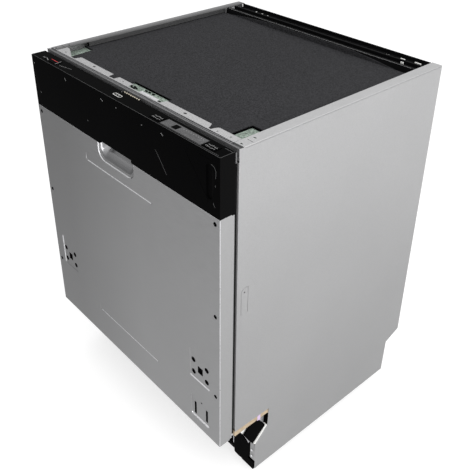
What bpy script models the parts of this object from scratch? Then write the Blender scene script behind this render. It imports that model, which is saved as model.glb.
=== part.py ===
"""Built-in (fully integrated) dishwasher, 60 cm wide, standing without its furniture front.

Metres, +Z up, front towards -Y. The origin is on the floor under the middle of the machine.
Every function below makes one sub-part, or one kind of sub-part.
"""

import math

import bmesh
import bpy
from mathutils import Matrix, Vector

# Driving dimensions.
WIDTH = 0.598
HEIGHT = 0.815
DEPTH = 0.580
HALF = WIDTH / 2
FRONT = -DEPTH / 2
BACK = DEPTH / 2
GAP = 0.0003
SHEET = 0.001

# Cabinet.
CABINET_FRONT = -0.252
PANEL_BOTTOM = 0.022
NOTCH_TOP = 0.183
FLANGE = 0.023
RAIL_HALF = HALF - FLANGE - 0.0005
MAT_TOP = 0.8035
MAT_THICK = 0.004
RECESS_BACK = 0.243

# Tub.
TUB_HALF = 0.270
TUB_FRONT = -0.240
TUB_BACK = 0.265
TUB_BOTTOM = 0.165
TUB_TOP = 0.789
TUB_SHEET = 0.0012
TUB_FLOOR = TUB_BOTTOM + TUB_SHEET

# Door.
DOOR_HALF = 0.297
DOOR_BOTTOM = 0.168
FASCIA_BOTTOM = 0.700
FASCIA_TOP = 0.812
FASCIA_BACK = -0.258
FASCIA_WALL = 0.0025
PAN_BACK = -0.264
INNER_PLATE = -0.2535
INNER_FACE = -0.232
INNER_RIM = -0.263
HINGE = (0.0, -0.250, 0.170)
POCKET_X = (-0.0530, 0.0510)
POCKET_Z = (0.6650, 0.7300)
POCKET_MOUTH_TOP = 0.7060

# Racks and spray arms.
LOWER_FLOOR = 0.222
LOWER_RIM = 0.345
UPPER_FLOOR = 0.505
UPPER_RIM = 0.600
WIRE = 0.004
WHEEL_RADIUS = 0.017
WHEEL_Z = TUB_FLOOR + WHEEL_RADIUS + 0.0005
WHEEL_X = 0.2445
WHEEL_Y = (-0.150, 0.165)
LOWER_ARM_Z = 0.1990
UPPER_ARM_Z = 0.4850

# Sump and base.
SUMP = (0.085, 0.0)
SOFTENER_NECK = (-0.145, 0.070)
BASE_HALF = 0.262
BASE_FRONT = -0.185
BASE_BACK = 0.240
BASE_BOTTOM = 0.0225
FRONT_FOOT = (0.235, -0.150)
REAR_FOOT = (0.0, 0.205)
STEM_RADIUS = 0.005
SHAFT_Z = 0.045

PALETTE = {
    "galvanised": ((0.56, 0.56, 0.57), 0.42, 0.85),
    "door_steel": ((0.40, 0.40, 0.41), 0.38, 0.90),
    "stainless": ((0.62, 0.62, 0.63), 0.25, 1.00),
    "black_plastic": ((0.012, 0.012, 0.013), 0.45, 0.0),
    "fascia_plastic": ((0.006, 0.006, 0.007), 0.25, 0.0),
    "bitumen_mat": ((0.045, 0.045, 0.050), 0.90, 0.0),
    "felt": ((0.36, 0.40, 0.37), 0.95, 0.0),
    "tan_foam": ((0.62, 0.50, 0.34), 0.90, 0.0),
    "rubber": ((0.03, 0.03, 0.035), 0.70, 0.0),
    "grey_plastic": ((0.33, 0.34, 0.36), 0.50, 0.0),
    "white_plastic": ((0.75, 0.75, 0.73), 0.45, 0.0),
    "rack_coating": ((0.42, 0.43, 0.45), 0.40, 0.0),
    "spring_steel": ((0.50, 0.50, 0.50), 0.35, 1.0),
    "circuit_board": ((0.04, 0.18, 0.07), 0.60, 0.0),
    "display": ((0.25, 0.25, 0.26), 0.20, 0.0),
}


# ---------------------------------------------------------------- tools


def clear_scene():
    for item in list(bpy.data.objects):
        bpy.data.objects.remove(item)


def material(slot):
    found = bpy.data.materials.get(slot)
    if found:
        return found
    colour, roughness, metallic = PALETTE[slot]
    made = bpy.data.materials.new(slot)
    made.use_nodes = True
    shader = made.node_tree.nodes["Principled BSDF"]
    shader.inputs["Base Color"].default_value = (*colour, 1.0)
    shader.inputs["Roughness"].default_value = roughness
    shader.inputs["Metallic"].default_value = metallic
    return made


def assembly(name, location):
    empty = bpy.data.objects.new(name, None)
    empty.location = location
    bpy.context.scene.collection.objects.link(empty)
    return empty


def finish(name, bm, slot, parent=None, origin=None, closed=True):
    """Turns a mesh drawn in world coordinates into an object with its origin where it belongs."""
    if closed:
        bmesh.ops.recalc_face_normals(bm, faces=bm.faces)
    corners = [v.co.copy() for v in bm.verts]
    low = Vector([min(c[i] for c in corners) for i in range(3)])
    high = Vector([max(c[i] for c in corners) for i in range(3)])
    centre = Vector(origin) if origin else (low + high) / 2
    bmesh.ops.translate(bm, verts=bm.verts, vec=-centre)
    mesh = bpy.data.meshes.new(name)
    bm.to_mesh(mesh)
    bm.free()
    made = bpy.data.objects.new(name, mesh)
    bpy.context.scene.collection.objects.link(made)
    made.location = centre
    if slot:
        mesh.materials.append(material(slot))
    if parent:
        made.parent = parent
        made.location = centre - parent.location
    return made


def add_box(bm, low, high):
    size = Vector(high) - Vector(low)
    middle = (Vector(high) + Vector(low)) / 2
    matrix = Matrix.Translation(middle) @ Matrix.Diagonal((*size, 1.0))
    bmesh.ops.create_cube(bm, size=1.0, matrix=matrix)


def box(name, low, high, slot, parent=None, origin=None):
    bm = bmesh.new()
    add_box(bm, low, high)
    return finish(name, bm, slot, parent, origin)


def to_world(axis, u, v, along):
    """A point of a drawing plane: X drawings hold (y, z), Y drawings (x, z), Z drawings (x, y)."""
    if axis == "X":
        return Vector((along, u, v))
    if axis == "Y":
        return Vector((u, along, v))
    return Vector((u, v, along))


def prism(name, outline, axis, start, end, slot, parent=None, origin=None):
    """A closed outline pushed along an axis from start to end."""
    bm = bmesh.new()
    first = [bm.verts.new(to_world(axis, u, v, start)) for u, v in outline]
    last = [bm.verts.new(to_world(axis, u, v, end)) for u, v in outline]
    bm.faces.new(first)
    bm.faces.new(last[::-1])
    for i in range(len(outline)):
        j = (i + 1) % len(outline)
        bm.faces.new((first[i], first[j], last[j], last[i]))
    return finish(name, bm, slot, parent, origin)


def turned(name, profile, centre, axis, slot, parent=None, origin=None, segments=16):
    """A (radius, height) profile spun once round an axis through centre."""
    bm = bmesh.new()
    rings = []
    for radius, height in profile:
        if radius < 1e-6:
            rings.append([bm.verts.new(Vector(centre) + to_world(axis, 0, 0, height))])
            continue
        ring = []
        for i in range(segments):
            turn = 2 * math.pi * i / segments
            u, v = radius * math.cos(turn), radius * math.sin(turn)
            ring.append(bm.verts.new(Vector(centre) + to_world(axis, u, v, height)))
        rings.append(ring)
    for k in range(len(rings)):
        here, there = rings[k], rings[(k + 1) % len(rings)]
        if len(here) == 1 and len(there) == 1:
            continue
        for i in range(segments):
            j = (i + 1) % segments
            corners = []
            for ring, index in ((here, i), (here, j), (there, j), (there, i)):
                vert = ring[index % len(ring)]
                if vert not in corners:
                    corners.append(vert)
            bm.faces.new(corners)
    made = finish(name, bm, slot, parent, origin)
    made.data.shade_smooth()
    made.data.set_sharp_from_angle(angle=math.radians(35))
    return made


def disc(radius, low, high):
    """The profile of a plain round bar."""
    return [(0.0, low), (radius, low), (radius, high), (0.0, high)]


def folded_sheet(name, panels, outward, thickness, slot, parent=None, origin=None):
    """Flat panels that share edges, given thickness towards the back of the first panel."""
    bm = bmesh.new()
    corners = {}
    for panel in panels:
        verts = []
        for point in panel:
            key = tuple(round(c, 6) for c in point)
            if key not in corners:
                corners[key] = bm.verts.new(key)
            verts.append(corners[key])
        bm.faces.new(verts)
    bmesh.ops.recalc_face_normals(bm, faces=bm.faces)
    bm.faces.ensure_lookup_table()
    if bm.faces[0].normal.dot(Vector(outward)) < 0:
        bmesh.ops.reverse_faces(bm, faces=bm.faces)
    made = finish(name, bm, slot, parent, origin, closed=False)
    solidify = made.modifiers.new("thickness", "SOLIDIFY")
    solidify.solidify_mode = "NON_MANIFOLD"
    solidify.nonmanifold_thickness_mode = "CONSTRAINTS"
    solidify.nonmanifold_merge_threshold = 0.00001
    solidify.thickness = thickness
    solidify.offset = -1.0
    return made


def tool(made):
    """Hides a cutter or an addition, so that only the Boolean that uses it counts it."""
    made.hide_render = True
    made.display_type = "WIRE"
    made.parent = None
    return made


def combine(target, other, operation):
    boolean = target.modifiers.new(other.name, "BOOLEAN")
    boolean.object = tool(other)
    boolean.operation = operation
    boolean.solver = "EXACT"
    return target


def cut_box(target, low, high):
    return combine(target, box(f"cut_{target.name}", low, high, None), "DIFFERENCE")


def cut_round(target, centre, axis, radius, low, high, segments=16):
    cutter = turned(f"cut_{target.name}", disc(radius, low, high), centre, axis, None, segments=segments)
    return combine(target, cutter, "DIFFERENCE")


def add_to(target, other):
    return combine(target, other, "UNION")


def rectangle(axis, along, u_low, u_high, v_low, v_high):
    corners = ((u_low, v_low), (u_high, v_low), (u_high, v_high), (u_low, v_high))
    return [tuple(to_world(axis, u, v, along)) for u, v in corners]


def ring_panels(outer, inner):
    """The four panels between two rectangles with matching corners."""
    sides = range(4)
    return [[outer[i], outer[(i + 1) % 4], inner[(i + 1) % 4], inner[i]] for i in sides]


def pan(name, x_half, z_low, z_high, y_front, y_back, thickness, slot, parent):
    """A tray that is open at the back, such as a pressed door skin."""
    face = rectangle("Y", y_front, -x_half, x_half, z_low, z_high)
    rim = rectangle("Y", y_back, -x_half, x_half, z_low, z_high)
    return folded_sheet(name, [face] + ring_panels(face, rim), (0, -1, 0), thickness, slot, parent)


def rounded_outline(u_low, u_high, v_low, v_high, radius, steps=3):
    corners = ((u_high, v_high, 0), (u_low, v_high, 90), (u_low, v_low, 180), (u_high, v_low, 270))
    points = []
    for u, v, start in corners:
        middle_u = u - radius if start in (0, 270) else u + radius
        middle_v = v - radius if start in (0, 90) else v + radius
        for k in range(steps + 1):
            turn = math.radians(start + 90 * k / steps)
            points.append((middle_u + radius * math.cos(turn), middle_v + radius * math.sin(turn)))
    return points


def lattice(name, x_half, y_low, y_high, z_low, z_high, counts, parent, origin):
    """An open basket of bars: a floor grid and four walls, one cell high."""
    across, along = counts
    bm = bmesh.new()
    corners = {}

    def corner(i, j, level):
        if (i, j, level) not in corners:
            x = -x_half + 2 * x_half * i / across
            y = y_low + (y_high - y_low) * j / along
            corners[i, j, level] = bm.verts.new((x, y, z_high if level else z_low))
        return corners[i, j, level]

    for i in range(across):
        for j in range(along):
            bm.faces.new([corner(i + a, j + b, 0) for a, b in ((0, 0), (1, 0), (1, 1), (0, 1))])
    for i in range(across):
        for j in (0, along):
            bm.faces.new((corner(i, j, 0), corner(i + 1, j, 0), corner(i + 1, j, 1), corner(i, j, 1)))
    for j in range(along):
        for i in (0, across):
            bm.faces.new((corner(i, j, 0), corner(i, j + 1, 0), corner(i, j + 1, 1), corner(i, j, 1)))
    bmesh.ops.recalc_face_normals(bm, faces=bm.faces)
    made = finish(name, bm, "rack_coating", parent, origin, closed=False)
    wires = made.modifiers.new("bars", "WIREFRAME")
    wires.thickness = WIRE
    wires.offset = 0.0
    wires.use_even_offset = True
    wires.use_boundary = True
    made.modifiers.new("flat_faces", "TRIANGULATE")
    return made


# ---------------------------------------------------------------- cabinet


def side_panel(side, cabinet):
    """Galvanised side skin with its folded top, front, toe-kick and rear flanges."""
    name = "side_panel_right" if side > 0 else "side_panel_left"
    x = side * HALF
    x_top = side * (HALF - FLANGE)
    x_front = side * (HALF - 0.012)
    x_rear = side * (HALF - 0.015)
    top = HEIGHT
    flange_y = (-0.2418, BACK)
    lip_y = (-0.165, 0.2250)
    toe = -0.1935
    outline = [
        (CABINET_FRONT, 0.790), (CABINET_FRONT, 0.190), (CABINET_FRONT, NOTCH_TOP), (-0.158, 0.180),
        (-0.160, 0.131), (toe, 0.097), (toe, 0.094), (toe, 0.045), (toe, PANEL_BOTTOM),
        (RECESS_BACK, PANEL_BOTTOM), (0.246, 0.110), (BACK, 0.128), (BACK, 0.133), (BACK, 0.810),
        (BACK, top), (lip_y[1], top), (lip_y[0], top), (flange_y[0], top),
        (CABINET_FRONT, top - 0.0005),
    ]
    skin = [(x, y, z) for y, z in outline]
    flange = [(x, y, top) for y in (flange_y[0], lip_y[0], lip_y[1], flange_y[1])]
    flange += [(x_top, y, top) for y in (flange_y[1], lip_y[1], lip_y[0], flange_y[0])]
    lip = [(x_top, lip_y[0], top), (x_top, lip_y[1], top)]
    lip += [(x_top, lip_y[1], MAT_TOP + 0.001), (x_top, lip_y[0], MAT_TOP + 0.001)]
    front = [(x, CABINET_FRONT, 0.790), (x, CABINET_FRONT, 0.190)]
    front += [(x_front, CABINET_FRONT, 0.190), (x_front, CABINET_FRONT, 0.790)]
    kick = [(x, toe, 0.094), (x, toe, 0.045), (x_rear, toe, 0.045), (x_rear, toe, 0.094)]
    rear = [(x, BACK, 0.133), (x, BACK, 0.810), (x_rear, BACK, 0.810), (x_rear, BACK, 0.133)]
    panels = [skin, flange, lip, front, kick, rear]
    return folded_sheet(name, panels, (side, 0, 0), SHEET, "galvanised", cabinet)


def top_front_rail(cabinet):
    """Galvanised front tie: a slotted flange, a groove and a front lip with the strike's slot."""
    groove = -0.2425
    front = -0.2518
    bottom = 0.793
    outline = [
        (groove, 0.8115), (-0.2490, 0.8115), (-0.2490, 0.8148), (front, 0.8148), (front, bottom),
        (-0.2508, bottom), (-0.2508, 0.8105), (groove, 0.8105),
    ]
    rail = prism("top_front_rail", outline, "X", -0.2975, 0.2975, "galvanised", cabinet)
    flange = [(-0.2260, 0.8150), (-0.2425, 0.8150), (-0.2435, 0.8140), (-0.2435, 0.8108)]
    flange += [(-0.2415, 0.8108), (-0.2415, 0.8140), (-0.2260, 0.8140)]
    add_to(rail, prism("rail_flange", flange, "X", -RAIL_HALF, RAIL_HALF, None))
    for low, high in ((-0.221, -0.208), (-0.085, -0.064), (-0.019, 0.079), (0.210, 0.218)):
        cut_box(rail, (low, -0.2412, 0.812), (high, -0.220, 0.820))
    for x in (-0.143, 0.143):
        cut_box(rail, (x - 0.004, -0.2365, 0.812), (x + 0.004, -0.2325, 0.820))
    cut_box(rail, (0.004, -0.260, 0.797), (0.032, -0.2505, 0.8045))
    return rail


def top_rear_rail(cabinet):
    """Black moulded tie across the back, ribbed along its length."""
    wall = 0.0025
    top = HEIGHT
    dip = 0.808
    outline = [
        (0.2265, MAT_TOP - 0.012), (0.2265, MAT_TOP), (0.2300, top), (0.2360, top), (0.2360, dip),
        (0.2540, dip), (0.2540, top), (0.2590, top), (0.2590, dip), (0.2830, dip), (0.2830, top),
        (0.2870, top), (0.2870, 0.7915), (0.2870 - wall, 0.7915), (0.2870 - wall, dip - wall),
        (0.2295, dip - wall), (0.2290, MAT_TOP - 0.012),
    ]
    return prism("top_rear_rail", outline, "X", -RAIL_HALF, RAIL_HALF, "black_plastic", cabinet)


def top_mat(cabinet):
    """Bitumen sound-damping mat on the tub, with its three cut-outs along the front edge."""
    half, front, back = 0.290, -0.2405, 0.2255
    outline = [
        (-0.250, front), (-0.058, front), (-0.054, -0.205), (0.055, -0.205), (0.062, front),
        (0.233, front), (0.232, -0.172), (half, -0.168), (half, back), (-half, back),
        (-half, -0.168), (-0.256, -0.168),
    ]
    low = MAT_TOP - MAT_THICK
    return prism("top_mat", outline, "Z", low, MAT_TOP, "bitumen_mat", cabinet)


def top_insulation(cabinet):
    """Felt layer under the mat, notched round the strike plate."""
    half, front, back, low = 0.290, -0.2385, 0.2255, 0.7905
    outline = [
        (-half, front), (-0.012, front), (-0.012, -0.2035), (0.046, -0.2035), (0.046, front),
        (half, front), (half, back), (-half, back),
    ]
    high = MAT_TOP - MAT_THICK - GAP
    return prism("top_insulation", outline, "Z", low, high, "felt", cabinet)


def back_panel(cabinet):
    """Galvanised back sheet, held behind the side panels' rear flanges."""
    low, high = (-0.2965, 0.2875, 0.133), (0.2965, 0.2887, 0.786)
    return box("back_panel", low, high, "galvanised", cabinet)


def tub(cabinet):
    """Stainless tub, open at the front, with its front flange and the holes in its floor."""
    flange = rectangle("Y", TUB_FRONT, -0.285, 0.285, 0.152, 0.7985)
    mouth = rectangle("Y", TUB_FRONT, -TUB_HALF, TUB_HALF, TUB_BOTTOM, TUB_TOP)
    rear = rectangle("Y", TUB_BACK, -TUB_HALF, TUB_HALF, TUB_BOTTOM, TUB_TOP)
    panels = [rear] + ring_panels(rear, mouth) + ring_panels(mouth, flange)
    made = folded_sheet("tub", panels, (0, 1, 0), TUB_SHEET, "stainless", cabinet)
    cut_round(made, (*SUMP, 0), "Z", 0.0575, 0.150, 0.180, 24)
    cut_round(made, (0, 0, 0), "Z", 0.0150, 0.150, 0.180, 12)
    cut_round(made, (*SOFTENER_NECK, 0), "Z", 0.0285, 0.150, 0.180, 16)
    return made


def tub_gasket(cabinet):
    """Rubber door seal round the tub's mouth."""
    back, front = TUB_FRONT - TUB_SHEET - 2 * GAP, INNER_PLATE + 0.0005
    outer = rounded_outline(-0.2815, 0.2815, 0.1765, 0.7865, 0.020)
    inner = rounded_outline(-0.2715, 0.2715, 0.1865, 0.7765, 0.012)
    made = prism("tub_gasket", outer, "Y", front, back, "rubber", cabinet)
    return combine(made, prism("gasket_mouth", inner, "Y", -0.30, -0.20, None), "DIFFERENCE")


def latch_strike(cabinet):
    """Bright strike plate on the tub, whose tongue enters the door's latch."""
    made = box("latch_strike", (-0.008, -0.2385, 0.7998), (0.042, -0.2060, 0.8013), "stainless", cabinet)
    add_to(made, box("strike_tongue", (0.008, -0.2640, 0.7999), (0.028, -0.2380, 0.8012), None))
    return add_to(made, box("strike_foot", (-0.0075, -0.2075, 0.7893), (0.0415, -0.2061, 0.8005), None))


def base_tray(cabinet):
    """Black base tray that holds the pumps and the feet."""
    floor = rectangle("Z", BASE_BOTTOM, -BASE_HALF, BASE_HALF, BASE_FRONT, BASE_BACK)
    rim = rectangle("Z", 0.118, -BASE_HALF, BASE_HALF, BASE_FRONT, BASE_BACK)
    panels = [floor] + ring_panels(floor, rim)
    made = folded_sheet("base_tray", panels, (0, 0, -1), 0.0025, "black_plastic", cabinet)
    places = [(-FRONT_FOOT[0], FRONT_FOOT[1]), FRONT_FOOT, REAR_FOOT]
    for place in places:
        boss = disc(0.012, BASE_BOTTOM + 0.001, 0.075)
        add_to(made, turned("foot_boss", boss, (*place, 0), "Z", None, segments=12))
    for place in places:
        cut_round(made, (*place, 0), "Z", STEM_RADIUS + 0.0006, 0.0, 0.1, 12)
    return cut_round(made, (0, 0, SHAFT_Z), "Y", 0.0056, BASE_FRONT - 0.01, BASE_FRONT + 0.01, 12)


def plinth_panel(cabinet):
    """Black toe-kick cover with the access hole of the rear foot's shaft."""
    outline = [
        (-0.2830, 0.0225), (0.2830, 0.0225), (0.2830, 0.092), (0.262, 0.112), (-0.262, 0.112),
        (-0.2830, 0.092),
    ]
    made = prism("plinth_panel", outline, "Y", -0.1895, -0.1870, "black_plastic", cabinet)
    return cut_round(made, (0, 0, SHAFT_Z), "Y", 0.008, -0.20, -0.18, 12)


def foam_strip(cabinet):
    """Tan noise strip: a leg over each toe-kick notch, joined under the tub."""
    made = box("foam_strip", (-0.2970, -0.1560, 0.1600), (0.2970, -0.1500, 0.1642), "tan_foam", cabinet)
    for side in (-1, 1):
        x = sorted((side * 0.2902, side * 0.2969))
        outline = [
            (-0.2500, 0.1665), (-0.1555, 0.1665), (-0.1555, 0.1605), (-0.1505, 0.1605),
            (-0.1505, 0.1815), (-0.2500, 0.1815),
        ]
        add_to(made, prism("foam_leg", outline, "X", x[0], x[1], None))
    return made


def hinge_bracket(side, cabinet):
    """Galvanised bracket with the door's pivot pin."""
    name = "hinge_bracket_right" if side > 0 else "hinge_bracket_left"
    outline = [
        (-0.2565, 0.1635), (-0.2565, 0.1735), (-0.2530, 0.1768), (-0.2435, 0.1768), (-0.2435, 0.1640),
        (-0.1600, 0.1640), (-0.1600, 0.1000), (-0.2150, 0.1000), (-0.2435, 0.1350), (-0.2435, 0.1600),
    ]
    x = sorted((side * 0.2856, side * 0.2872))
    made = prism(name, outline, "X", x[0], x[1], "galvanised", cabinet)
    span = sorted((side * 0.2860, side * 0.2899))
    pin = turned("pivot_pin", disc(0.004, *span), (0, HINGE[1], HINGE[2]), "X", None, segments=12)
    return add_to(made, pin)


def cord_guide(side, cabinet):
    """Black block that guides the door spring's cord, tilted in the toe-kick notch."""
    name = "cord_guide_right" if side > 0 else "cord_guide_left"
    tilt = math.radians(33)
    centre = (-0.192, 0.132)
    outline = []
    for u, v in rounded_outline(-0.022, 0.022, -0.024, 0.024, 0.005, 2):
        y = centre[0] + u * math.cos(tilt) - v * math.sin(tilt)
        z = centre[1] + u * math.sin(tilt) + v * math.cos(tilt)
        outline.append((y, z))
    x = sorted((side * 0.2920, side * 0.2970))
    return prism(name, outline, "X", x[0], x[1], "black_plastic", cabinet)


def door_spring(side, cabinet):
    """Tension spring that balances the door, coiled along Y beside the base tray."""
    name = "door_spring_right" if side > 0 else "door_spring_left"
    turns, steps, sides = 7, 8, 4
    coil, wire, y_low, y_high = 0.0085, 0.0011, -0.150, -0.070
    centre_x, centre_z = side * 0.2735, 0.076
    bm = bmesh.new()
    rings = []
    for k in range(turns * steps + 1):
        turn = 2 * math.pi * k / steps
        y = y_low + (y_high - y_low) * k / (turns * steps)
        ring = []
        for s in range(sides):
            bend = 2 * math.pi * s / sides
            reach = coil + wire * math.cos(bend)
            x = centre_x + reach * math.cos(turn)
            z = centre_z + reach * math.sin(turn)
            ring.append(bm.verts.new((x, y + wire * math.sin(bend), z)))
        rings.append(ring)
    for here, there in zip(rings, rings[1:]):
        for s in range(sides):
            t = (s + 1) % sides
            bm.faces.new((here[s], here[t], there[t], there[s]))
    bm.faces.new(rings[0])
    bm.faces.new(rings[-1])
    return finish(name, bm, "spring_steel", cabinet)


# ---------------------------------------------------------------- water circuit


def sump(cabinet):
    """Sump bowl with the duct and the spigot that feeds the lower spray arm."""
    bowl = [(0, 0.088), (0.062, 0.088), (0.062, 0.164), (0.058, 0.164), (0.058, 0.092), (0, 0.092)]
    made = turned("sump", bowl, (*SUMP, 0), "Z", "grey_plastic", cabinet, segments=24)
    spigot = turned("spigot", disc(0.0140, 0.128, 0.1915), (0, 0, 0), "Z", None, segments=12)
    add_to(made, box("sump_duct", (-0.005, -0.011, 0.130), (0.0255, 0.011, 0.160), None))
    return add_to(made, spigot)


def filter_plate(cabinet):
    """Fine-filter disc that lies in the tub's floor."""
    low = TUB_FLOOR + 2 * GAP
    ring = [(0.031, low), (0.068, low), (0.068, low + 0.0012), (0.031, low + 0.0012)]
    return turned("filter_plate", ring, (*SUMP, 0), "Z", "stainless", cabinet, segments=24)


def filter_cup(cabinet):
    """Coarse filter cup with its grip, turned a quarter to unlock it."""
    top = 0.1715
    cup = [
        (0, 0.098), (0.0295, 0.098), (0.0295, 0.1690), (0.036, 0.1690), (0.036, top), (0.0275, top),
        (0.0275, 0.100), (0, 0.100),
    ]
    made = turned("filter_cup", cup, (*SUMP, 0), "Z", "grey_plastic", cabinet, (*SUMP, top))
    grip = box("filter_grip", (SUMP[0] - 0.0285, -0.003, 0.1695), (SUMP[0] + 0.0285, 0.003, 0.1860), None)
    return add_to(made, grip)


def circulation_pump(cabinet):
    profile = [
        (0, -0.060), (0.020, -0.060), (0.026, -0.050), (0.026, -0.010), (0.042, -0.004),
        (0.042, 0.045), (0.030, 0.060), (0, 0.060),
    ]
    centre = (-0.010, -0.088, 0.102)
    return turned("circulation_pump", profile, centre, "X", "grey_plastic", cabinet)


def drain_pump(cabinet):
    profile = [(0, 0.152), (0.022, 0.152), (0.022, 0.182), (0.017, 0.186), (0.017, 0.225), (0, 0.225)]
    return turned("drain_pump", profile, (0, 0.020, 0.105), "X", "black_plastic", cabinet, segments=12)


def water_softener(cabinet):
    """Softener tank under the tub with its salt filler neck."""
    made = box("water_softener", (-0.215, 0.000, 0.060), (-0.080, 0.140, 0.1600), "white_plastic", cabinet)
    neck = turned("filler_neck", disc(0.027, 0.150, 0.1658), (*SOFTENER_NECK, 0), "Z", None)
    return add_to(made, neck)


def salt_cap(cabinet):
    """Screw cap of the salt filler, with a grip bar."""
    low = TUB_FLOOR + 2 * GAP
    cap = [(0, low), (0.034, low), (0.034, 0.178), (0.031, 0.181), (0, 0.181)]
    made = turned("salt_cap", cap, (*SOFTENER_NECK, 0), "Z", "grey_plastic", cabinet, (*SOFTENER_NECK, low))
    x, y = SOFTENER_NECK
    return add_to(made, box("salt_grip", (x - 0.026, y - 0.004, 0.180), (x + 0.026, y + 0.004, 0.187), None))


def inlet_valve(cabinet):
    """Water inlet valve with its threaded spigot at the back of the base."""
    made = box("inlet_valve", (-0.222, 0.2405, 0.065), (-0.178, 0.2580, 0.105), "white_plastic", cabinet)
    spigot = turned("valve_spigot", disc(0.0131, 0.257, 0.284), (-0.200, 0, 0.085), "Y", None, segments=12)
    return add_to(made, spigot)


def mains_inlet(cabinet):
    """Terminal box with the mains lead's gland."""
    made = box("mains_inlet", (0.170, 0.2405, 0.060), (0.220, 0.2560, 0.100), "black_plastic", cabinet)
    gland = turned("gland", disc(0.009, 0.255, 0.272), (0.195, 0, 0.080), "Y", None, segments=12)
    return add_to(made, gland)


def spray_riser(cabinet):
    """Feed duct up the tub's back wall and forwards under its ceiling."""
    outline = [
        (0.2480, 0.1680), (0.2625, 0.1680), (0.2625, 0.7860), (-0.0120, 0.7860), (-0.0120, 0.7700),
        (0.2480, 0.7700),
    ]
    return prism("spray_riser", outline, "X", -0.011, 0.011, "grey_plastic", cabinet)


def ceiling_sprinkler(cabinet):
    profile = [(0, 0.7570), (0.022, 0.7570), (0.030, 0.7620), (0.030, 0.7660), (0.010, 0.7695), (0, 0.7695)]
    return turned("ceiling_sprinkler", profile, (0, 0, 0), "Z", "grey_plastic", cabinet)


def spray_arm(name, z, reach, parent):
    """Two-bladed spray arm with its hub, spinning about Z."""
    thick = 0.006
    outline = []
    for side in (1, -1):
        for x, y in ((0.022, -0.020), (0.110, -0.024), (reach - 0.02, -0.017), (reach, -0.006)):
            outline.append((side * x, side * y))
        for x, y in ((reach, 0.006), (reach - 0.02, 0.017), (0.110, 0.012), (0.022, 0.020)):
            outline.append((side * x, side * y))
    made = prism(name, outline, "Z", z - thick, z + thick, "grey_plastic", parent, (0, 0, z))
    hub = turned(f"{name}_hub", disc(0.0240, z - 0.0068, z + 0.0100), (0, 0, 0), "Z", None)
    return add_to(made, hub)


# ---------------------------------------------------------------- racks


def rack_rail(side, cabinet):
    """C-shaped runner on the tub's wall that carries the upper rack."""
    name = "rack_rail_right" if side > 0 else "rack_rail_left"
    outer, inner, web = 0.2682, 0.2535, 0.2650
    low, high, lip = 0.545, 0.575, 0.0035
    outline = [
        (outer, low), (outer, high), (inner, high), (inner, high - lip), (web, high - lip),
        (web, low + lip), (inner, low + lip), (inner, low),
    ]
    outline = [(side * u, v) for u, v in outline]
    return prism(name, outline, "Y", -0.222, 0.210, "stainless", cabinet)


def upper_rack(rack):
    """Upper basket with the side runners that ride in the rails."""
    made = lattice("upper_rack", 0.246, -0.212, 0.236, UPPER_FLOOR, UPPER_RIM, (5, 4), rack, (0, 0, UPPER_FLOOR))
    for side in (-1, 1):
        x = sorted((side * 0.2445, side * 0.2625))
        add_to(made, box("runner", (x[0], -0.170, 0.5530), (x[1], 0.170, 0.5670), None))
    return made


def lower_rack(rack):
    """Lower basket with the brackets and pins of its wheels."""
    made = lattice("lower_rack", 0.235, -0.205, 0.235, LOWER_FLOOR, LOWER_RIM, (5, 4), rack, (0, 0, LOWER_FLOOR))
    for side in (-1, 1):
        for y in WHEEL_Y:
            x = sorted((side * 0.2338, side * 0.2362))
            low, high = (x[0], y - 0.010, WHEEL_Z - 0.008), (x[1], y + 0.010, LOWER_FLOOR + 0.0004)
            leg = box("wheel_leg", low, high, None)
            span = sorted((side * 0.2348, side * 0.2490))
            pin = turned("wheel_pin", disc(0.003, *span), (0, y, WHEEL_Z), "X", None, segments=8)
            add_to(made, add_to(leg, pin))
    return made


def rack_wheel(side, end, rack):
    """Plain-bored roller of the lower rack."""
    name = f"rack_wheel_{'front' if end == 0 else 'rear'}_{'right' if side > 0 else 'left'}"
    half, bore = 0.004, 0.0037
    profile = [(bore, -half), (WHEEL_RADIUS - 0.002, -half), (WHEEL_RADIUS, -half + 0.0015)]
    profile += [(WHEEL_RADIUS, half - 0.0015), (WHEEL_RADIUS - 0.002, half), (bore, half)]
    centre = (side * WHEEL_X, WHEEL_Y[end], WHEEL_Z)
    return turned(name, profile, centre, "X", "grey_plastic", rack, centre, segments=14)


def cutlery_basket(rack):
    """Open cutlery basket with one partition, standing in the lower rack."""
    low, high, wall = (0.100, -0.195, LOWER_FLOOR + 0.0026), (0.222, -0.105, 0.350), 0.002
    made = box("cutlery_basket", low, high, "grey_plastic", rack)
    middle = (low[0] + high[0]) / 2
    for left, right in ((low[0] + wall, middle - wall / 2), (middle + wall / 2, high[0] - wall)):
        cut_box(made, (left, low[1] + wall, low[2] + wall), (right, high[1] - wall, 0.40))
    return made


# ---------------------------------------------------------------- feet


def foot(name, place, cabinet):
    """Levelling foot: pad and threaded stem."""
    profile = [(0, 0), (0.020, 0), (0.020, 0.008), (0.014, 0.012), (STEM_RADIUS, 0.012)]
    profile += [(STEM_RADIUS, 0.080), (0, 0.080)]
    return turned(name, profile, (*place, 0), "Z", "grey_plastic", cabinet, (*place, 0), segments=12)


def rear_foot_shaft(cabinet):
    """Hexagonal shaft that drives the rear foot from the front."""
    profile = [(0, BASE_FRONT - 0.0005), (0.0045, BASE_FRONT - 0.0005), (0.0045, 0.172)]
    profile += [(0.008, 0.174), (0.008, 0.190), (0, 0.190)]
    centre = (0, 0, SHAFT_Z)
    return turned("rear_foot_shaft", profile, centre, "Y", "spring_steel", cabinet, centre, segments=6)


# ---------------------------------------------------------------- door


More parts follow.
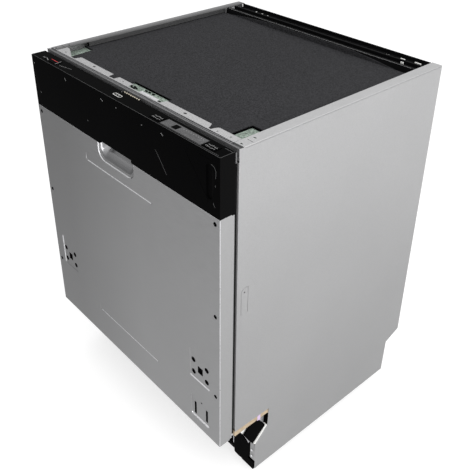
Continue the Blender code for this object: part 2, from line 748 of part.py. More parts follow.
def outer_door_panel(door):
    """Steel outer skin, notched for the handle pocket, with its edge screw holes."""
    made = pan(
        "outer_door_panel", DOOR_HALF, DOOR_BOTTOM, FASCIA_BOTTOM - GAP, FRONT, PAN_BACK, SHEET,
        "door_steel", door,
    )
    low = (POCKET_X[0] - GAP, FRONT - 0.01, POCKET_Z[0] - GAP)
    cut_box(made, low, (POCKET_X[1] + GAP, -0.259, 0.72))
    for side in (-1, 1):
        for z in (0.298, 0.4935, 0.687):
            cut_round(made, (side * 0.285, 0, z), "Y", 0.0025, FRONT - 0.01, FRONT + 0.01, 8)
        for x in (0.219, 0.258):
            for z in (0.3125, 0.3430):
                cut_round(made, (side * x, 0, z), "Y", 0.0035, FRONT - 0.01, FRONT + 0.01, 8)
    return made


def handle_pocket(door):
    """Bright finger pocket that runs up behind the fascia's lower edge."""
    wall = 0.001
    low = (POCKET_X[0], FRONT + 0.0005, POCKET_Z[0])
    made = box("handle_pocket", low, (POCKET_X[1], -0.2600, POCKET_Z[1]), "stainless", door)
    low = (POCKET_X[0] + wall, FRONT - 0.01, POCKET_Z[0] + wall)
    cut_box(made, low, (POCKET_X[1] - wall, -0.2610, POCKET_Z[1] - wall))
    low = (POCKET_X[0] - 0.01, FRONT - 0.01, POCKET_MOUTH_TOP - GAP)
    return cut_box(made, low, (POCKET_X[1] + 0.01, FRONT + FASCIA_WALL + GAP, 0.80))


def inner_door(door):
    """Stainless inner skin with its raised centre, dispenser hole and strike slot."""
    rim = rectangle("Y", INNER_RIM, -0.2935, 0.2935, 0.178, 0.808)
    edge = rectangle("Y", INNER_PLATE, -0.2935, 0.2935, 0.178, 0.808)
    step = rectangle("Y", INNER_PLATE, -0.258, 0.258, 0.205, 0.765)
    face = rectangle("Y", INNER_FACE, -0.250, 0.250, 0.213, 0.757)
    panels = [face] + ring_panels(face, step) + ring_panels(step, edge) + ring_panels(edge, rim)
    made = folded_sheet("inner_door", panels, (0, 1, 0), SHEET, "stainless", door)
    cut_box(made, (-0.0855, -0.25, 0.4295), (0.0755, -0.22, 0.5805))
    return cut_box(made, (-0.014, -0.272, 0.770), (0.050, -0.250, 0.820))


def fascia(door):
    """Black fascia housing with its button holes, strip recess and handle notch."""
    made = pan(
        "fascia", DOOR_HALF, FASCIA_BOTTOM, FASCIA_TOP, FRONT, FASCIA_BACK, FASCIA_WALL,
        "fascia_plastic", door,
    )
    low = (POCKET_X[0] - GAP, FRONT - 0.01, FASCIA_BOTTOM - 0.01)
    cut_box(made, low, (POCKET_X[1] + GAP, -0.250, POCKET_MOUTH_TOP))
    low = (-DOOR_HALF + 0.003, INNER_RIM - 0.001, FASCIA_BOTTOM - 0.01)
    cut_box(made, low, (DOOR_HALF - 0.003, -0.250, FASCIA_BOTTOM + 0.0035))
    for x_low, x_high, y_low, y_high in BUTTONS.values():
        low = (x_low - GAP, y_low - GAP, FASCIA_TOP - 0.005)
        cut_box(made, low, (x_high + GAP, y_high + GAP, FASCIA_TOP + 0.005))
    cut_box(made, (0.1385, -0.2845, FASCIA_TOP - 0.001), (0.2435, -0.2645, FASCIA_TOP + 0.005))
    return made


def display_panel(door):
    low, high = (0.1388, -0.2842, FASCIA_TOP - 0.0007), (0.2432, -0.2648, FASCIA_TOP + 0.0001)
    return box("display_panel", low, high, "display", door)


def control_board(door):
    low, high = (0.085, -0.2850, 0.7925), (0.285, -0.2610, 0.7941)
    return box("control_board", low, high, "circuit_board", door)


BUTTONS = {
    "power_button": (-0.2540, -0.2100, -0.2830, -0.2670),
    "program_button": (0.1080, 0.1350, -0.2830, -0.2670),
    "start_button": (0.2470, 0.2750, -0.2830, -0.2670),
}


def button(name, door):
    """Push button: a cap through the fascia and a collar under it."""
    x_low, x_high, y_low, y_high = BUTTONS[name]
    middle = ((x_low + x_high) / 2, (y_low + y_high) / 2, FASCIA_TOP)
    cap = rounded_outline(x_low, x_high, y_low, y_high, 0.002, 2)
    made = prism(name, cap, "Z", 0.8050, FASCIA_TOP + 0.0009, "fascia_plastic", door, middle)
    low = (x_low - 0.0015, y_low - 0.0015, 0.8048)
    return add_to(made, box("collar", low, (x_high + 0.0015, y_high + 0.0015, 0.8072), None))


def door_latch(door):
    """Latch housing in the fascia, open where the strike's tongue enters."""
    outline = [
        (-0.2845, 0.7760), (-0.2850, 0.8085), (-0.2577, 0.8085), (-0.2577, 0.8110), (-0.2549, 0.8110),
        (-0.2549, 0.7760),
    ]
    made = prism("door_latch", outline, "X", -0.0120, 0.0480, "black_plastic", door)
    return cut_box(made, (0.004, -0.268, 0.7965), (0.032, -0.250, 0.8045))


def dispenser_body(door):
    """Detergent and rinse-aid dispenser, set in the inner door."""
    made = box("dispenser_body", (-0.083, -0.2600, 0.432), (0.073, -0.2312, 0.578), "grey_plastic", door)
    add_to(made, box("dispenser_flange", (-0.092, -0.2317, 0.423), (0.082, -0.2297, 0.587), None))
    cut_box(made, (-0.075, -0.2560, 0.450), (-0.020, -0.2200, 0.560))
    return cut_round(made, (0.040, 0, 0.530), "Y", 0.0165, -0.2450, -0.2200)


def dispenser_lid(door):
    """Sliding lid of the detergent well."""
    made = box("dispenser_lid", (-0.080, -0.2293, 0.445), (-0.015, -0.2268, 0.565), "grey_plastic", door)
    return cut_box(made, (-0.026, -0.2276, 0.480), (-0.021, -0.2200, 0.530))


def rinse_aid_cap(door):
    """Bayonet cap of the rinse-aid filler."""
    centre = (0.040, -0.2293, 0.530)
    profile = [(0, -0.0137), (0.0135, -0.0137), (0.0135, 0.0), (0.0185, 0.0), (0.0185, 0.0018), (0, 0.0018)]
    made = turned("rinse_aid_cap", profile, centre, "Y", "grey_plastic", door, centre)
    return add_to(made, box("cap_grip", (0.026, -0.2280, 0.5275), (0.054, -0.2258, 0.5325), None))


def hinge_arm(side, door):
    """Steel arm that carries the door and reaches back past the pivot to the spring's cord."""
    name = "hinge_arm_right" if side > 0 else "hinge_arm_left"
    outline = [
        (-0.2780, 0.1720), (-0.2640, 0.1720), (-0.2570, 0.1632), (-0.2420, 0.1632), (-0.2180, 0.1490),
        (-0.2120, 0.1560), (-0.2400, 0.1765), (-0.2640, 0.1765), (-0.2640, 0.2600), (-0.2780, 0.2600),
    ]
    x = sorted((side * 0.2878, side * 0.2896))
    made = prism(name, outline, "X", x[0], x[1], "galvanised", door, (x[0], HINGE[1], HINGE[2]))
    return cut_round(made, (0, HINGE[1], HINGE[2]), "X", 0.0045, x[0] - 0.01, x[1] + 0.01, 12)


# ---------------------------------------------------------------- assembly


def build_cabinet():
    cabinet = assembly("cabinet", (0, 0, 0))
    parts = (
        top_front_rail, top_rear_rail, top_mat, top_insulation, back_panel, tub, tub_gasket,
        latch_strike, base_tray, plinth_panel, foam_strip, sump, filter_plate, filter_cup,
        circulation_pump, drain_pump, water_softener, salt_cap, inlet_valve, mains_inlet,
        spray_riser, ceiling_sprinkler, rear_foot_shaft,
    )
    for part in parts:
        part(cabinet)
    for side in (-1, 1):
        for part in (side_panel, hinge_bracket, cord_guide, door_spring, rack_rail):
            part(side, cabinet)
    foot("front_foot_left", (-FRONT_FOOT[0], FRONT_FOOT[1]), cabinet)
    foot("front_foot_right", FRONT_FOOT, cabinet)
    foot("rear_foot", REAR_FOOT, cabinet)
    spray_arm("lower_spray_arm", LOWER_ARM_Z, 0.228, cabinet)


def build_racks():
    upper = assembly("upper_rack_slide", (0, 0, UPPER_FLOOR))
    upper_rack(upper)
    spray_arm("upper_spray_arm", UPPER_ARM_Z, 0.205, upper)
    lower = assembly("lower_rack_slide", (0, 0, LOWER_FLOOR))
    lower_rack(lower)
    cutlery_basket(lower)
    for side in (-1, 1):
        for end in (0, 1):
            rack_wheel(side, end, lower)


def build_door():
    door = assembly("door_pivot", HINGE)
    parts = (
        outer_door_panel, handle_pocket, inner_door, fascia, display_panel, control_board,
        door_latch, dispenser_body, dispenser_lid, rinse_aid_cap,
    )
    for part in parts:
        part(door)
    for name in BUTTONS:
        button(name, door)
    for side in (-1, 1):
        hinge_arm(side, door)


clear_scene()
build_cabinet()
build_racks()
build_door()
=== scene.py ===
import math

import bmesh
import bpy
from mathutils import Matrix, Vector


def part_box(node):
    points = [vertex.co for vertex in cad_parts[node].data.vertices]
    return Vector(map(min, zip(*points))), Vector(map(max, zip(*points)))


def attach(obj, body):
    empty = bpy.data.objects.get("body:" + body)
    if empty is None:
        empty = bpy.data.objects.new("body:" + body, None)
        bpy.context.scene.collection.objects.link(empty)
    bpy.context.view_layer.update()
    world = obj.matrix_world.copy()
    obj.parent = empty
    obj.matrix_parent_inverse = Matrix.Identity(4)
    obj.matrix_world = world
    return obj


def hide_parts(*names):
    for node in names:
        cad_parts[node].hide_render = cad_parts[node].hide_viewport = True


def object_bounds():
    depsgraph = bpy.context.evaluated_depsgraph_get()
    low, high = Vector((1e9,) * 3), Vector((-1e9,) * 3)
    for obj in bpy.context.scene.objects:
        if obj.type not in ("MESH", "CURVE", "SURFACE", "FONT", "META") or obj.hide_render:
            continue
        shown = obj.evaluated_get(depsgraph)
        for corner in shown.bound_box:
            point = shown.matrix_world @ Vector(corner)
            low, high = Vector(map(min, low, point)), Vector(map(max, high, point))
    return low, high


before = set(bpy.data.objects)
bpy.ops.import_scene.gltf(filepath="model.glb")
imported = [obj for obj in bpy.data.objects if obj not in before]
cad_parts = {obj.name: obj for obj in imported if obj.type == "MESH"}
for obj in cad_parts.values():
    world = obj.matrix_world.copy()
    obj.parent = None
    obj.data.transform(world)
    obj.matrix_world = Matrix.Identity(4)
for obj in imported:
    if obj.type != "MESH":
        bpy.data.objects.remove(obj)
cad_low, cad_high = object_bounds()

HALF = cad_high.x
FRONT = cad_low.y
BACK = cad_high.y
TOP = cad_high.z
RAIL_HALF = 0.2755
AXES = {"X": (1, 2, 0), "Y": (0, 2, 1), "Z": (0, 1, 2)}
SIDES = (("left", -1), ("right", 1))
WHITE = (1, 1, 1, 1)
PRINT = 0.00012


# ---------------------------------------------------------------- camera and studio


def placed_in_scene(name, data):
    made = bpy.data.objects.new(name, data)
    bpy.context.scene.collection.objects.link(made)
    return made


def make_camera():
    """Looks down on the front right corner through a shifted lens."""
    downward, sideways, roll = math.radians(29.42), math.radians(48.82), math.radians(-0.19)
    data = bpy.data.cameras.new("camera")
    data.sensor_width = 36.0
    data.lens = 51.7
    data.shift_x = 0.0292
    data.shift_y = -0.1474
    data.clip_start, data.clip_end = 0.01, 50.0
    camera = placed_in_scene("camera", data)
    camera.location = (0.9717, -0.8751, 1.3)
    camera.rotation_euler = (math.pi / 2 - downward, roll, sideways)
    bpy.context.scene.camera = camera


def area_light(name, place, target, side, power):
    """Square lamp aimed at a target."""
    data = bpy.data.lights.new(name, "AREA")
    data.shape = "RECTANGLE"
    data.size = data.size_y = side
    data.energy = power
    lamp = placed_in_scene(name, data)
    lamp.location = place
    lamp.rotation_euler = (Vector(target) - Vector(place)).to_track_quat("-Z", "Y").to_euler()


def glow(tree, coords, toward, start, end, low, high):
    """Part of the studio's light that grows smoothly toward one direction."""
    facing = tree.nodes.new("ShaderNodeVectorMath")
    facing.operation = "DOT_PRODUCT"
    facing.inputs[1].default_value = Vector(toward).normalized()
    tree.links.new(coords, facing.inputs[0])
    ramp = node(tree, "ShaderNodeMapRange", From_Min=start, From_Max=end, To_Min=low, To_Max=high)
    ramp.interpolation_type = "SMOOTHSTEP"
    tree.links.new(facing.outputs["Value"], ramp.inputs["Value"])
    return ramp.outputs["Result"]


def make_studio():
    """Soft light from above and the right, some bounce from below, and a floor; white to the camera."""
    bpy.context.scene.view_settings.view_transform = "Standard"
    world = bpy.data.worlds.new("studio")
    bpy.context.scene.world = world
    world.use_nodes = True
    tree = world.node_tree
    coords = tree.nodes.new("ShaderNodeTexCoord").outputs["Generated"]
    total = tree.nodes.new("ShaderNodeMath")
    tree.links.new(glow(tree, coords, (0.72, 0.1, 0.69), -0.9, 0.8, 0.22, 1.0), total.inputs[0])
    tree.links.new(glow(tree, coords, (-0.25, -0.33, -0.91), 0.55, 1.0, 0.0, 0.4), total.inputs[1])
    seen = node(tree, "ShaderNodeMixRGB", Color2=WHITE)
    tree.links.new(tree.nodes.new("ShaderNodeLightPath").outputs["Is Camera Ray"], seen.inputs["Fac"])
    tree.links.new(total.outputs["Value"], seen.inputs["Color1"])
    tree.links.new(seen.outputs["Color"], tree.nodes["Background"].inputs["Color"])
    area_light("key", (2.6, -0.6, 2.6), (0.1, 0.0, 0.4), 2.2, 62.0)
    area_light("overhead", (-0.2, 0.4, 3.2), (0.0, 0.0, 0.8), 2.6, 14.0)
    area_light("front_fill", (0.45, -1.3, 0.35), (0.32, -0.3, 0.25), 0.8, 4.6)
    side = 30.0
    mesh = bpy.data.meshes.new("studio_floor")
    corners = [(-side, -side, 0), (side, -side, 0), (side, side, 0), (-side, side, 0)]
    mesh.from_pydata(corners, [], [(0, 1, 2, 3)])
    mesh.materials.append(surface(
        "pale_floor", (0.42, 0.42, 0.42), 0.9, 0.0, 3.0, 0.01, 0.6, 0.01, 0.06,
        Emission_Color=WHITE, Emission_Strength=0.67,
    ))
    floor = placed_in_scene("studio_floor", mesh)
    floor.location.z = -0.0004
    floor.visible_glossy = False


# ---------------------------------------------------------------- materials


def node(tree, kind, **values):
    made = tree.nodes.new(kind)
    for key, value in values.items():
        made.inputs[key.replace("_", " ")].default_value = value
    return made


def noise_of(tree, coords, scale, detail=3.0, stretch=(1, 1, 1)):
    """Noise between 0 and 1 that can be stretched along an axis."""
    mapping = node(tree, "ShaderNodeMapping", Scale=stretch)
    tree.links.new(coords, mapping.inputs["Vector"])
    made = node(tree, "ShaderNodeTexNoise", Scale=scale, Detail=detail)
    tree.links.new(mapping.outputs["Vector"], made.inputs["Vector"])
    return made.outputs["Fac"]


def ranged(tree, value, low, high, start=0.25, end=0.75):
    """Output that goes from low to high while the value goes from start to end."""
    made = node(tree, "ShaderNodeMapRange", From_Min=start, From_Max=end, To_Min=low, To_Max=high)
    tree.links.new(value, made.inputs["Value"])
    return made.outputs["Result"]


def times(tree, a, b):
    """Product of two outputs of a node tree."""
    made = tree.nodes.new("ShaderNodeMath")
    made.operation = "MULTIPLY"
    tree.links.new(a, made.inputs[0])
    tree.links.new(b, made.inputs[1])
    return made.outputs[0]


def surface(name, colour, roughness, metallic, grain, spread, cloud, cloud_spread, rough_spread,
            bump=0.0, depth=0.0002, stretch=(1, 1, 1), fade=None, **sockets):
    """A Principled material whose colour, gloss and relief vary with a fine grain and a slow cloud.

    fade = (axis, start, end, factor) darkens it along that axis, to the factor at one end, as painted shade.
    """
    made = bpy.data.materials.new(name)
    made.use_nodes = True
    made.diffuse_color = (*colour, 1.0)
    tree = made.node_tree
    shader = tree.nodes["Principled BSDF"]
    shader.inputs["Metallic"].default_value = metallic
    for key, value in sockets.items():
        shader.inputs[key.replace("_", " ")].default_value = value
    coords = tree.nodes.new("ShaderNodeTexCoord").outputs["Object"]
    fine = noise_of(tree, coords, grain, 2.0, stretch)
    slow = noise_of(tree, coords, cloud)
    fine_shade = ranged(tree, fine, 1 - spread, 1 + spread)
    shade = times(tree, fine_shade, ranged(tree, slow, 1 - cloud_spread, 1 + cloud_spread))
    if fade:
        split = tree.nodes.new("ShaderNodeSeparateXYZ")
        tree.links.new(coords, split.inputs["Vector"])
        axis, start, end, factor = fade
        shade = times(tree, shade, ranged(tree, split.outputs[axis], 1.0, factor, start, end))
    tint = tree.nodes.new("ShaderNodeVectorMath")
    tint.operation = "SCALE"
    tint.inputs[0].default_value = colour
    tree.links.new(shade, tint.inputs["Scale"])
    tree.links.new(tint.outputs["Vector"], shader.inputs["Base Color"])
    rough = ranged(tree, fine, max(roughness - rough_spread, 0.02), min(roughness + rough_spread, 1.0))
    tree.links.new(rough, shader.inputs["Roughness"])
    if bump:
        relief = node(tree, "ShaderNodeBump", Strength=bump, Distance=depth)
        tree.links.new(fine, relief.inputs["Height"])
        tree.links.new(relief.outputs["Normal"], shader.inputs["Normal"])
    return made


# The record's slot, then colour, roughness, metallic, grain and its spread, cloud and its spread,
# spread of roughness, strength and depth of the relief, and what else a finish needs.
FINISHES = {
    # Galvanised is darker towards the bottom: painted shade.
    "galvanised": (
        "galvanised", (0.545, 0.545, 0.55), 0.46, 0.8, 520, 0.07, 3, 0.035, 0.1, 0.25, 0.00015,
        {"fade": ("Z", 0.72, 0.1, 0.82)},
    ),
    # shaded_zinc is a darker copy of galvanised: painted shade on the tie's lip and knurl and on the corner
    # clips.
    "shaded_zinc": ("galvanised", (0.21, 0.21, 0.215), 0.5, 0.75, 520, 0.1, 9, 0.05, 0.1, 0.2, 0.00015, {}),
    # shaded_flange_zinc is a darker zinc for the left top flange, darker still towards its inner edge:
    # painted shade and painted reflection.
    "shaded_flange_zinc": (
        "galvanised", (0.34, 0.34, 0.345), 0.5, 0.75, 520, 0.09, 9, 0.06, 0.1, 0.2, 0.00015,
        {"fade": ("X", -0.299, -0.274, 0.26)},
    ),
    # Bright zinc for plated brackets, screws and plates, also used for painted highlights on edges and
    # slopes.
    "bright_zinc_and_highlight": ("galvanised", (0.8, 0.8, 0.82), 0.34, 0.75, 260, 0.1, 18, 0.06, 0.1, 0, 0, {}),
    # Door steel is darker towards its left end: painted shade.
    "door_steel": (
        "door_steel", (0.352, 0.352, 0.357), 0.42, 0.8, 420, 0.05, 2.2, 0.04, 0.07, 0.1, 0.0001,
        {"stretch": (0.1, 1, 1), "fade": ("X", 0.06, -0.2, 0.79)},
    ),
    # door_side is a lighter copy of door steel for the door's side faces, painted light, and darker towards
    # the bottom: painted shade.
    "door_side": (
        "door_steel", (0.508, 0.508, 0.512), 0.44, 0.8, 420, 0.05, 2.2, 0.03, 0.07, 0.1, 0.0001,
        {"fade": ("Z", 0.7, 0.1, 0.9)},
    ),
    "stainless": (
        "stainless", (0.5, 0.5, 0.51), 0.36, 1, 700, 0.07, 4, 0.05, 0.08, 0.06, 0.0001,
        {"stretch": (0.06, 1, 1)},
    ),
    "polished": (
        "stainless", (0.4, 0.4, 0.41), 0.22, 1, 500, 0.05, 20, 0.06, 0.06, 0, 0, {"stretch": (0.08, 1, 1)},
    ),
    "fascia": (
        "fascia_plastic", (0.0008, 0.0008, 0.0009), 0.4, 0, 1400, 0.3, 6, 0.15, 0.06, 0.08, 0.0001,
        {"Specular_IOR_Level": 0.012},
    ),
    # fascia_side is a lighter copy of the fascia plastic for its end faces: painted light.
    "fascia_side": (
        "fascia_plastic", (0.0026, 0.0026, 0.0027), 0.45, 0, 1400, 0.3, 6, 0.15, 0.06, 0.08, 0.0001,
        {"Specular_IOR_Level": 0.03},
    ),
    # Deep black is a black plastic, also put on hole and slot walls, behind holes and along the mat's cut
    # edges as painted shade.
    "deep_black": (
        "black_plastic", (0.001, 0.001, 0.0011), 0.55, 0, 1100, 0.3, 9, 0.15, 0.08, 0.3, 0.0002,
        {"Specular_IOR_Level": 0.015},
    ),
    "black_plastic": (
        "black_plastic", (0.0035, 0.0035, 0.0038), 0.5, 0, 1100, 0.3, 9, 0.15, 0.1, 0.35, 0.0002,
        {"Specular_IOR_Level": 0.04},
    ),
    "mat": (
        "bitumen_mat", (0.0262, 0.0262, 0.0283), 0.88, 0, 430, 0.62, 3, 0.07, 0.08, 0.55, 0.0004,
        {"Specular_IOR_Level": 0.12},
    ),
    "felt": ("felt", (0.2, 0.245, 0.21), 0.95, 0, 330, 0.7, 60, 0.25, 0.04, 0.9, 0.0012, {}),
    "foam": ("tan_foam", (0.4, 0.315, 0.215), 0.92, 0, 900, 0.22, 70, 0.14, 0.05, 0.7, 0.0006, {}),
    "rubber": (
        "rubber", (0.012, 0.012, 0.013), 0.62, 0, 900, 0.15, 20, 0.08, 0.06, 0.2, 0.0002,
        {"Specular_IOR_Level": 0.35},
    ),
    "grey_plastic": (
        "grey_plastic", (0.36, 0.37, 0.39), 0.46, 0, 1000, 0.06, 12, 0.04, 0.06, 0.25, 0.0002, {},
    ),
    "white_plastic": (
        "white_plastic", (0.74, 0.74, 0.72), 0.42, 0, 1000, 0.04, 10, 0.03, 0.06, 0.2, 0.0002, {},
    ),
    "nylon": ("rack_coating", (0.42, 0.43, 0.455), 0.38, 0, 1200, 0.05, 14, 0.04, 0.06, 0.15, 0.0001, {}),
    "spring": ("spring_steel", (0.52, 0.52, 0.52), 0.34, 1, 900, 0.08, 40, 0.05, 0.06, 0, 0, {}),
    "board": ("circuit_board", (0.03, 0.16, 0.06), 0.45, 0, 600, 0.25, 120, 0.25, 0.06, 0, 0, {}),
    "display": (
        "display", (0.085, 0.085, 0.087), 0.42, 0, 620, 0.45, 90, 0.15, 0.06, 0, 0,
        {"Specular_IOR_Level": 0.15},
    ),
    # Edge grey also draws painted highlights on the fascia.
    "edge_grey": (None, (0.055, 0.055, 0.056), 0.45, 0, 900, 0.35, 45, 0.3, 0.06, 0, 0, {}),
    # print_and_highlight_grey is for print, and also for painted highlights in the fascia's sink marks.
    "print_and_highlight_grey": (None, (0.26, 0.26, 0.26), 0.55, 0, 900, 0.1, 60, 0.05, 0.06, 0, 0, {}),
    "print_pale": (None, (0.62, 0.62, 0.6), 0.5, 0, 900, 0.08, 60, 0.05, 0.06, 0, 0, {}),
    "print_red": (None, (0.6, 0.03, 0.04), 0.5, 0, 900, 0.1, 60, 0.05, 0.06, 0, 0, {}),
    "beige": (None, (0.55, 0.5, 0.4), 0.5, 0, 900, 0.08, 60, 0.05, 0.06, 0, 0, {}),
    "lilac": (None, (0.52, 0.4, 0.58), 0.6, 0, 900, 0.06, 60, 0.04, 0.06, 0, 0, {}),
}
MATERIALS = {name: surface(f"{name}_finish", *row[1:-1], **row[-1]) for name, row in FINISHES.items()}


# ---------------------------------------------------------------- shapes


def rounded(a_low, a_high, b_low, b_high, radius, steps=4):
    """Points of a rectangle with round corners, anticlockwise from the lower right."""
    points = []
    corners = ((a_high, b_low, -90), (a_high, b_high, 0), (a_low, b_high, 90), (a_low, b_low, 180))
    for a, b, start in corners:
        centre_a = a - radius if a == a_high else a + radius
        centre_b = b - radius if b == b_high else b + radius
        for k in range(steps + 1):
            turn = math.radians(start + 90 * k / steps)
            points.append((centre_a + radius * math.cos(turn), centre_b + radius * math.sin(turn)))
    return points


def pill(a, b, half_a, half_b, radius):
    """Rectangle with round corners about a middle point."""
    return rounded(a - half_a, a + half_a, b - half_b, b + half_b, radius)


def circle(count, radius, middle=(0.0, 0.0)):
    """Points spaced evenly round a circle."""
    turns = [2 * math.pi * k / count for k in range(count)]
    return [(middle[0] + radius * math.cos(t), middle[1] + radius * math.sin(t)) for t in turns]


def spaced(low, high, count):
    """Numbers spaced evenly from low to high."""
    return [low + (high - low) * k / (count - 1) for k in range(count)]


def middle_of(name):
    """Middle of a CAD node's box."""
    low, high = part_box(name)
    return (low + high) / 2


def placed(a, b, c, axis):
    """World point of an outline point (a, b) at c along the axis."""
    point = [0.0, 0.0, 0.0]
    i, j, k = AXES[axis]
    point[i], point[j], point[k] = a, b, c
    return Vector(point)


def bent(points, radius, steps=4):
    """A polyline with its inner corners rounded."""
    points = [Vector(p) for p in points]
    path = [points[0]]
    for before, corner, after in zip(points, points[1:], points[2:]):
        start = corner + (before - corner).normalized() * radius
        end = corner + (after - corner).normalized() * radius
        for k in range(steps + 1):
            t = k / steps
            path.append(start * (1 - t) ** 2 + corner * 2 * t * (1 - t) + end * t ** 2)
    return path + [points[-1]]


class Shape:
    """Mesh drawn in world coordinates from a few kinds of solids."""

    def __init__(self):
        self.bm = bmesh.new()

    def loft(self, rings, closed=False):
        rows = [[self.bm.verts.new(p) for p in ring] for ring in rings]
        pairs = list(zip(rows, rows[1:])) + ([(rows[-1], rows[0])] if closed else [])
        for here, there in pairs:
            for k in range(len(here)):
                n = (k + 1) % len(here)
                self.bm.faces.new((here[k], here[n], there[n], there[k]))
        if not closed:
            self.bm.faces.new(rows[0])
            self.bm.faces.new(rows[-1])
        return self

    def plate(self, outline, axis, low, high):
        return self.loft([[placed(a, b, c, axis) for a, b in outline] for c in (low, high)])

    def box(self, low, high):
        outline = [(low[0], low[1]), (high[0], low[1]), (high[0], high[1]), (low[0], high[1])]
        return self.plate(outline, "Z", low[2], high[2])

    def pair(self, near, far, y_span, z_span):
        """The same box on the left and on the right."""
        for x_low, x_high in ((-far, -near), (near, far)):
            self.box((x_low, y_span[0], z_span[0]), (x_high, y_span[1], z_span[1]))
        return self

    def turned(self, profile, centre, axis, steps=32, closed=False):
        """Turns (radius, place along the axis) about a line through centre; ends may touch the axis."""
        i, j, k = AXES[axis]
        rings = []
        for radius, along in profile:
            ring = []
            for a, b in circle(steps, max(radius, 1e-5)):
                point = Vector(centre)
                point[i] += a
                point[j] += b
                point[k] += along
                ring.append(point)
            rings.append(ring)
        return self.loft(rings, closed)

    def tube(self, points, radius, sides=8, closed=False):
        """Round bar along the points."""
        points = [Vector(p) for p in points]
        count = len(points)
        rings, normal = [], None
        for k, point in enumerate(points):
            ahead = points[(k + 1) % count] if closed or k + 1 < count else point
            behind = points[k - 1] if closed or k > 0 else point
            along = (ahead - behind).normalized()
            if normal is None:
                guide = Vector((0, 0, 1)) if abs(along.z) < 0.9 else Vector((1, 0, 0))
                normal = along.cross(guide).normalized()
            else:
                normal = (normal - along * normal.dot(along)).normalized()
            other = along.cross(normal)
            rings.append([point + normal * a + other * b for a, b in circle(sides, radius)])
        return self.loft(rings, closed)


def cad_shape(name):
    """A CAD node's own shape, with its triangles merged into flat faces again."""
    shape = Shape()
    shape.bm.from_mesh(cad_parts[name].data)
    bmesh.ops.remove_doubles(shape.bm, verts=shape.bm.verts, dist=0.00001)
    flat = math.radians(0.5)
    bmesh.ops.dissolve_limit(shape.bm, angle_limit=flat, verts=shape.bm.verts, edges=shape.bm.edges)
    return shape


def settle(item):
    """Applies an object's modifiers."""
    bpy.context.view_layer.update()
    graph = bpy.context.evaluated_depsgraph_get()
    mesh = bpy.data.meshes.new_from_object(item.evaluated_get(graph))
    item.modifiers.clear()
    item.data = mesh


def linked(name, shape):
    """Object made of a shape, which is used up by it."""
    bmesh.ops.recalc_face_normals(shape.bm, faces=shape.bm.faces)
    mesh = bpy.data.meshes.new(name)
    shape.bm.to_mesh(mesh)
    shape.bm.free()
    return placed_in_scene(name, mesh)


def soften(item, bevel, segments, angle):
    """Rounds the edges that are sharper than the angle."""
    change = item.modifiers.new("edges", "BEVEL")
    change.width = bevel
    change.segments = segments
    change.limit_method = "ANGLE"
    change.angle_limit = math.radians(angle)
    change.use_clamp_overlap = False
    settle(item)


def piece(name, shape, body, finish, stands_for=(), bevel=0.0, segments=2, angle=32.0, cuts=(),
          cut_first=False):
    """Makes a visible piece: rounds its edges, cuts it, paints it, and lets it ride on its body."""
    made = linked(name, shape)
    if bevel and not cut_first:
        soften(made, bevel, segments, angle)
    for cut in cuts:
        cutter = linked("cutter", cut)
        change = made.modifiers.new("cut", "BOOLEAN")
        change.operation = "DIFFERENCE"
        change.solver = "EXACT"
        change.object = cutter
        settle(made)
        bpy.data.objects.remove(cutter)
    if bevel and cut_first:
        soften(made, bevel, segments, angle)
    made.data.materials.clear()
    made.data.materials.append(MATERIALS[finish])
    made.data.shade_smooth()
    made.data.set_sharp_from_angle(angle=math.radians(angle))
    for vertex in made.data.vertices:
        vertex.co = [min(max(c, low), high) for c, low, high in zip(vertex.co, cad_low, cad_high)]
    even = made.modifiers.new("normals", "WEIGHTED_NORMAL")
    even.keep_sharp = True
    settle(made)
    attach(made, body)
    if stands_for:
        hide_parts(*stands_for)
    return made


def refined(name, body, finish, bevel=0.0006, segments=2, cuts=()):
    """A CAD node's shape with its edges rounded, which stands for the node."""
    return piece(f"{name}_fine", cad_shape(name), body, finish, (name,), bevel, segments, cuts=cuts)


def repaint(made, choose, *finishes):
    """Adds finishes to a piece; choose gives each face's own, from 1 on, or 0 for the first."""
    for finish in finishes:
        made.data.materials.append(MATERIALS[finish])
    for polygon in made.data.polygons:
        polygon.material_index = choose(polygon)


# ---------------------------------------------------------------- cabinet outside


def side_skins():
    """Galvanised side skins: fold radii, a seam under the top fold, a pressed tab, a pinhole and slots, with
    painted shade on the slot walls and painted shade and reflection on the left top flange.
    """
    slots_at = (
        (0.2876, -0.2374, 0.0027, 0.0014), (0.2892, -0.2203, 0.0064, 0.0005),
        (0.2862, -0.2078, 0.0029, 0.0014),
    )
    line, margin, top_zone = 0.001, 0.001, 0.804
    for word, side in SIDES:
        x = side * HALF
        slots = Shape()
        for a, y, wide, deep in slots_at:
            slots.plate(pill(side * a, y, wide, deep, min(wide, deep) * 0.8), "Z", TOP - 0.004, TOP + 0.002)
        low, high = sorted((x - side * 0.0009, x + side * 0.01))
        seam = Shape().box((low, -0.24, 0.8119), (high, BACK - 0.002, 0.8135))
        outline = [
            (-0.243, 0.478), (-0.243, 0.531), (-0.237, 0.537), (-0.226, 0.537), (-0.226, 0.478),
            (-0.226 - line, 0.478), (-0.226 - line, 0.537 - line), (-0.2366, 0.537 - line),
            (-0.243 + line, 0.5306), (-0.243 + line, 0.478),
        ]
        tab = Shape().plate(outline, "X", low, high)
        hole = Shape().turned([(0.0016, -0.004), (0.0016, 0.004)], (x, -0.235, 0.527), "X", 12)
        cuts = (slots, seam, tab, hole)

        def choose(face):
            middle = face.center
            shaded_slot_wall = any(
                abs(middle.x - side * a) < wide + margin and abs(middle.y - y) < deep + margin
                for a, y, wide, deep in slots_at
            )
            # Slot walls take deep black: painted shade.
            if shaded_slot_wall and middle.z > top_zone and abs(face.normal.z) < 0.93:
                return 1
            # Inner part of the left top flange takes the darker flange zinc: painted shade and painted
            # reflection.
            shaded_flange = side < 0 and middle.z > top_zone and middle.x > x + 0.0011 and middle.y > -0.24
            return 2 if shaded_flange else 0

        skin = refined(f"side_panel_{word}", "cabinet", "galvanised", 0.0006, 3, cuts)
        repaint(skin, choose, "deep_black", "shaded_flange_zinc")


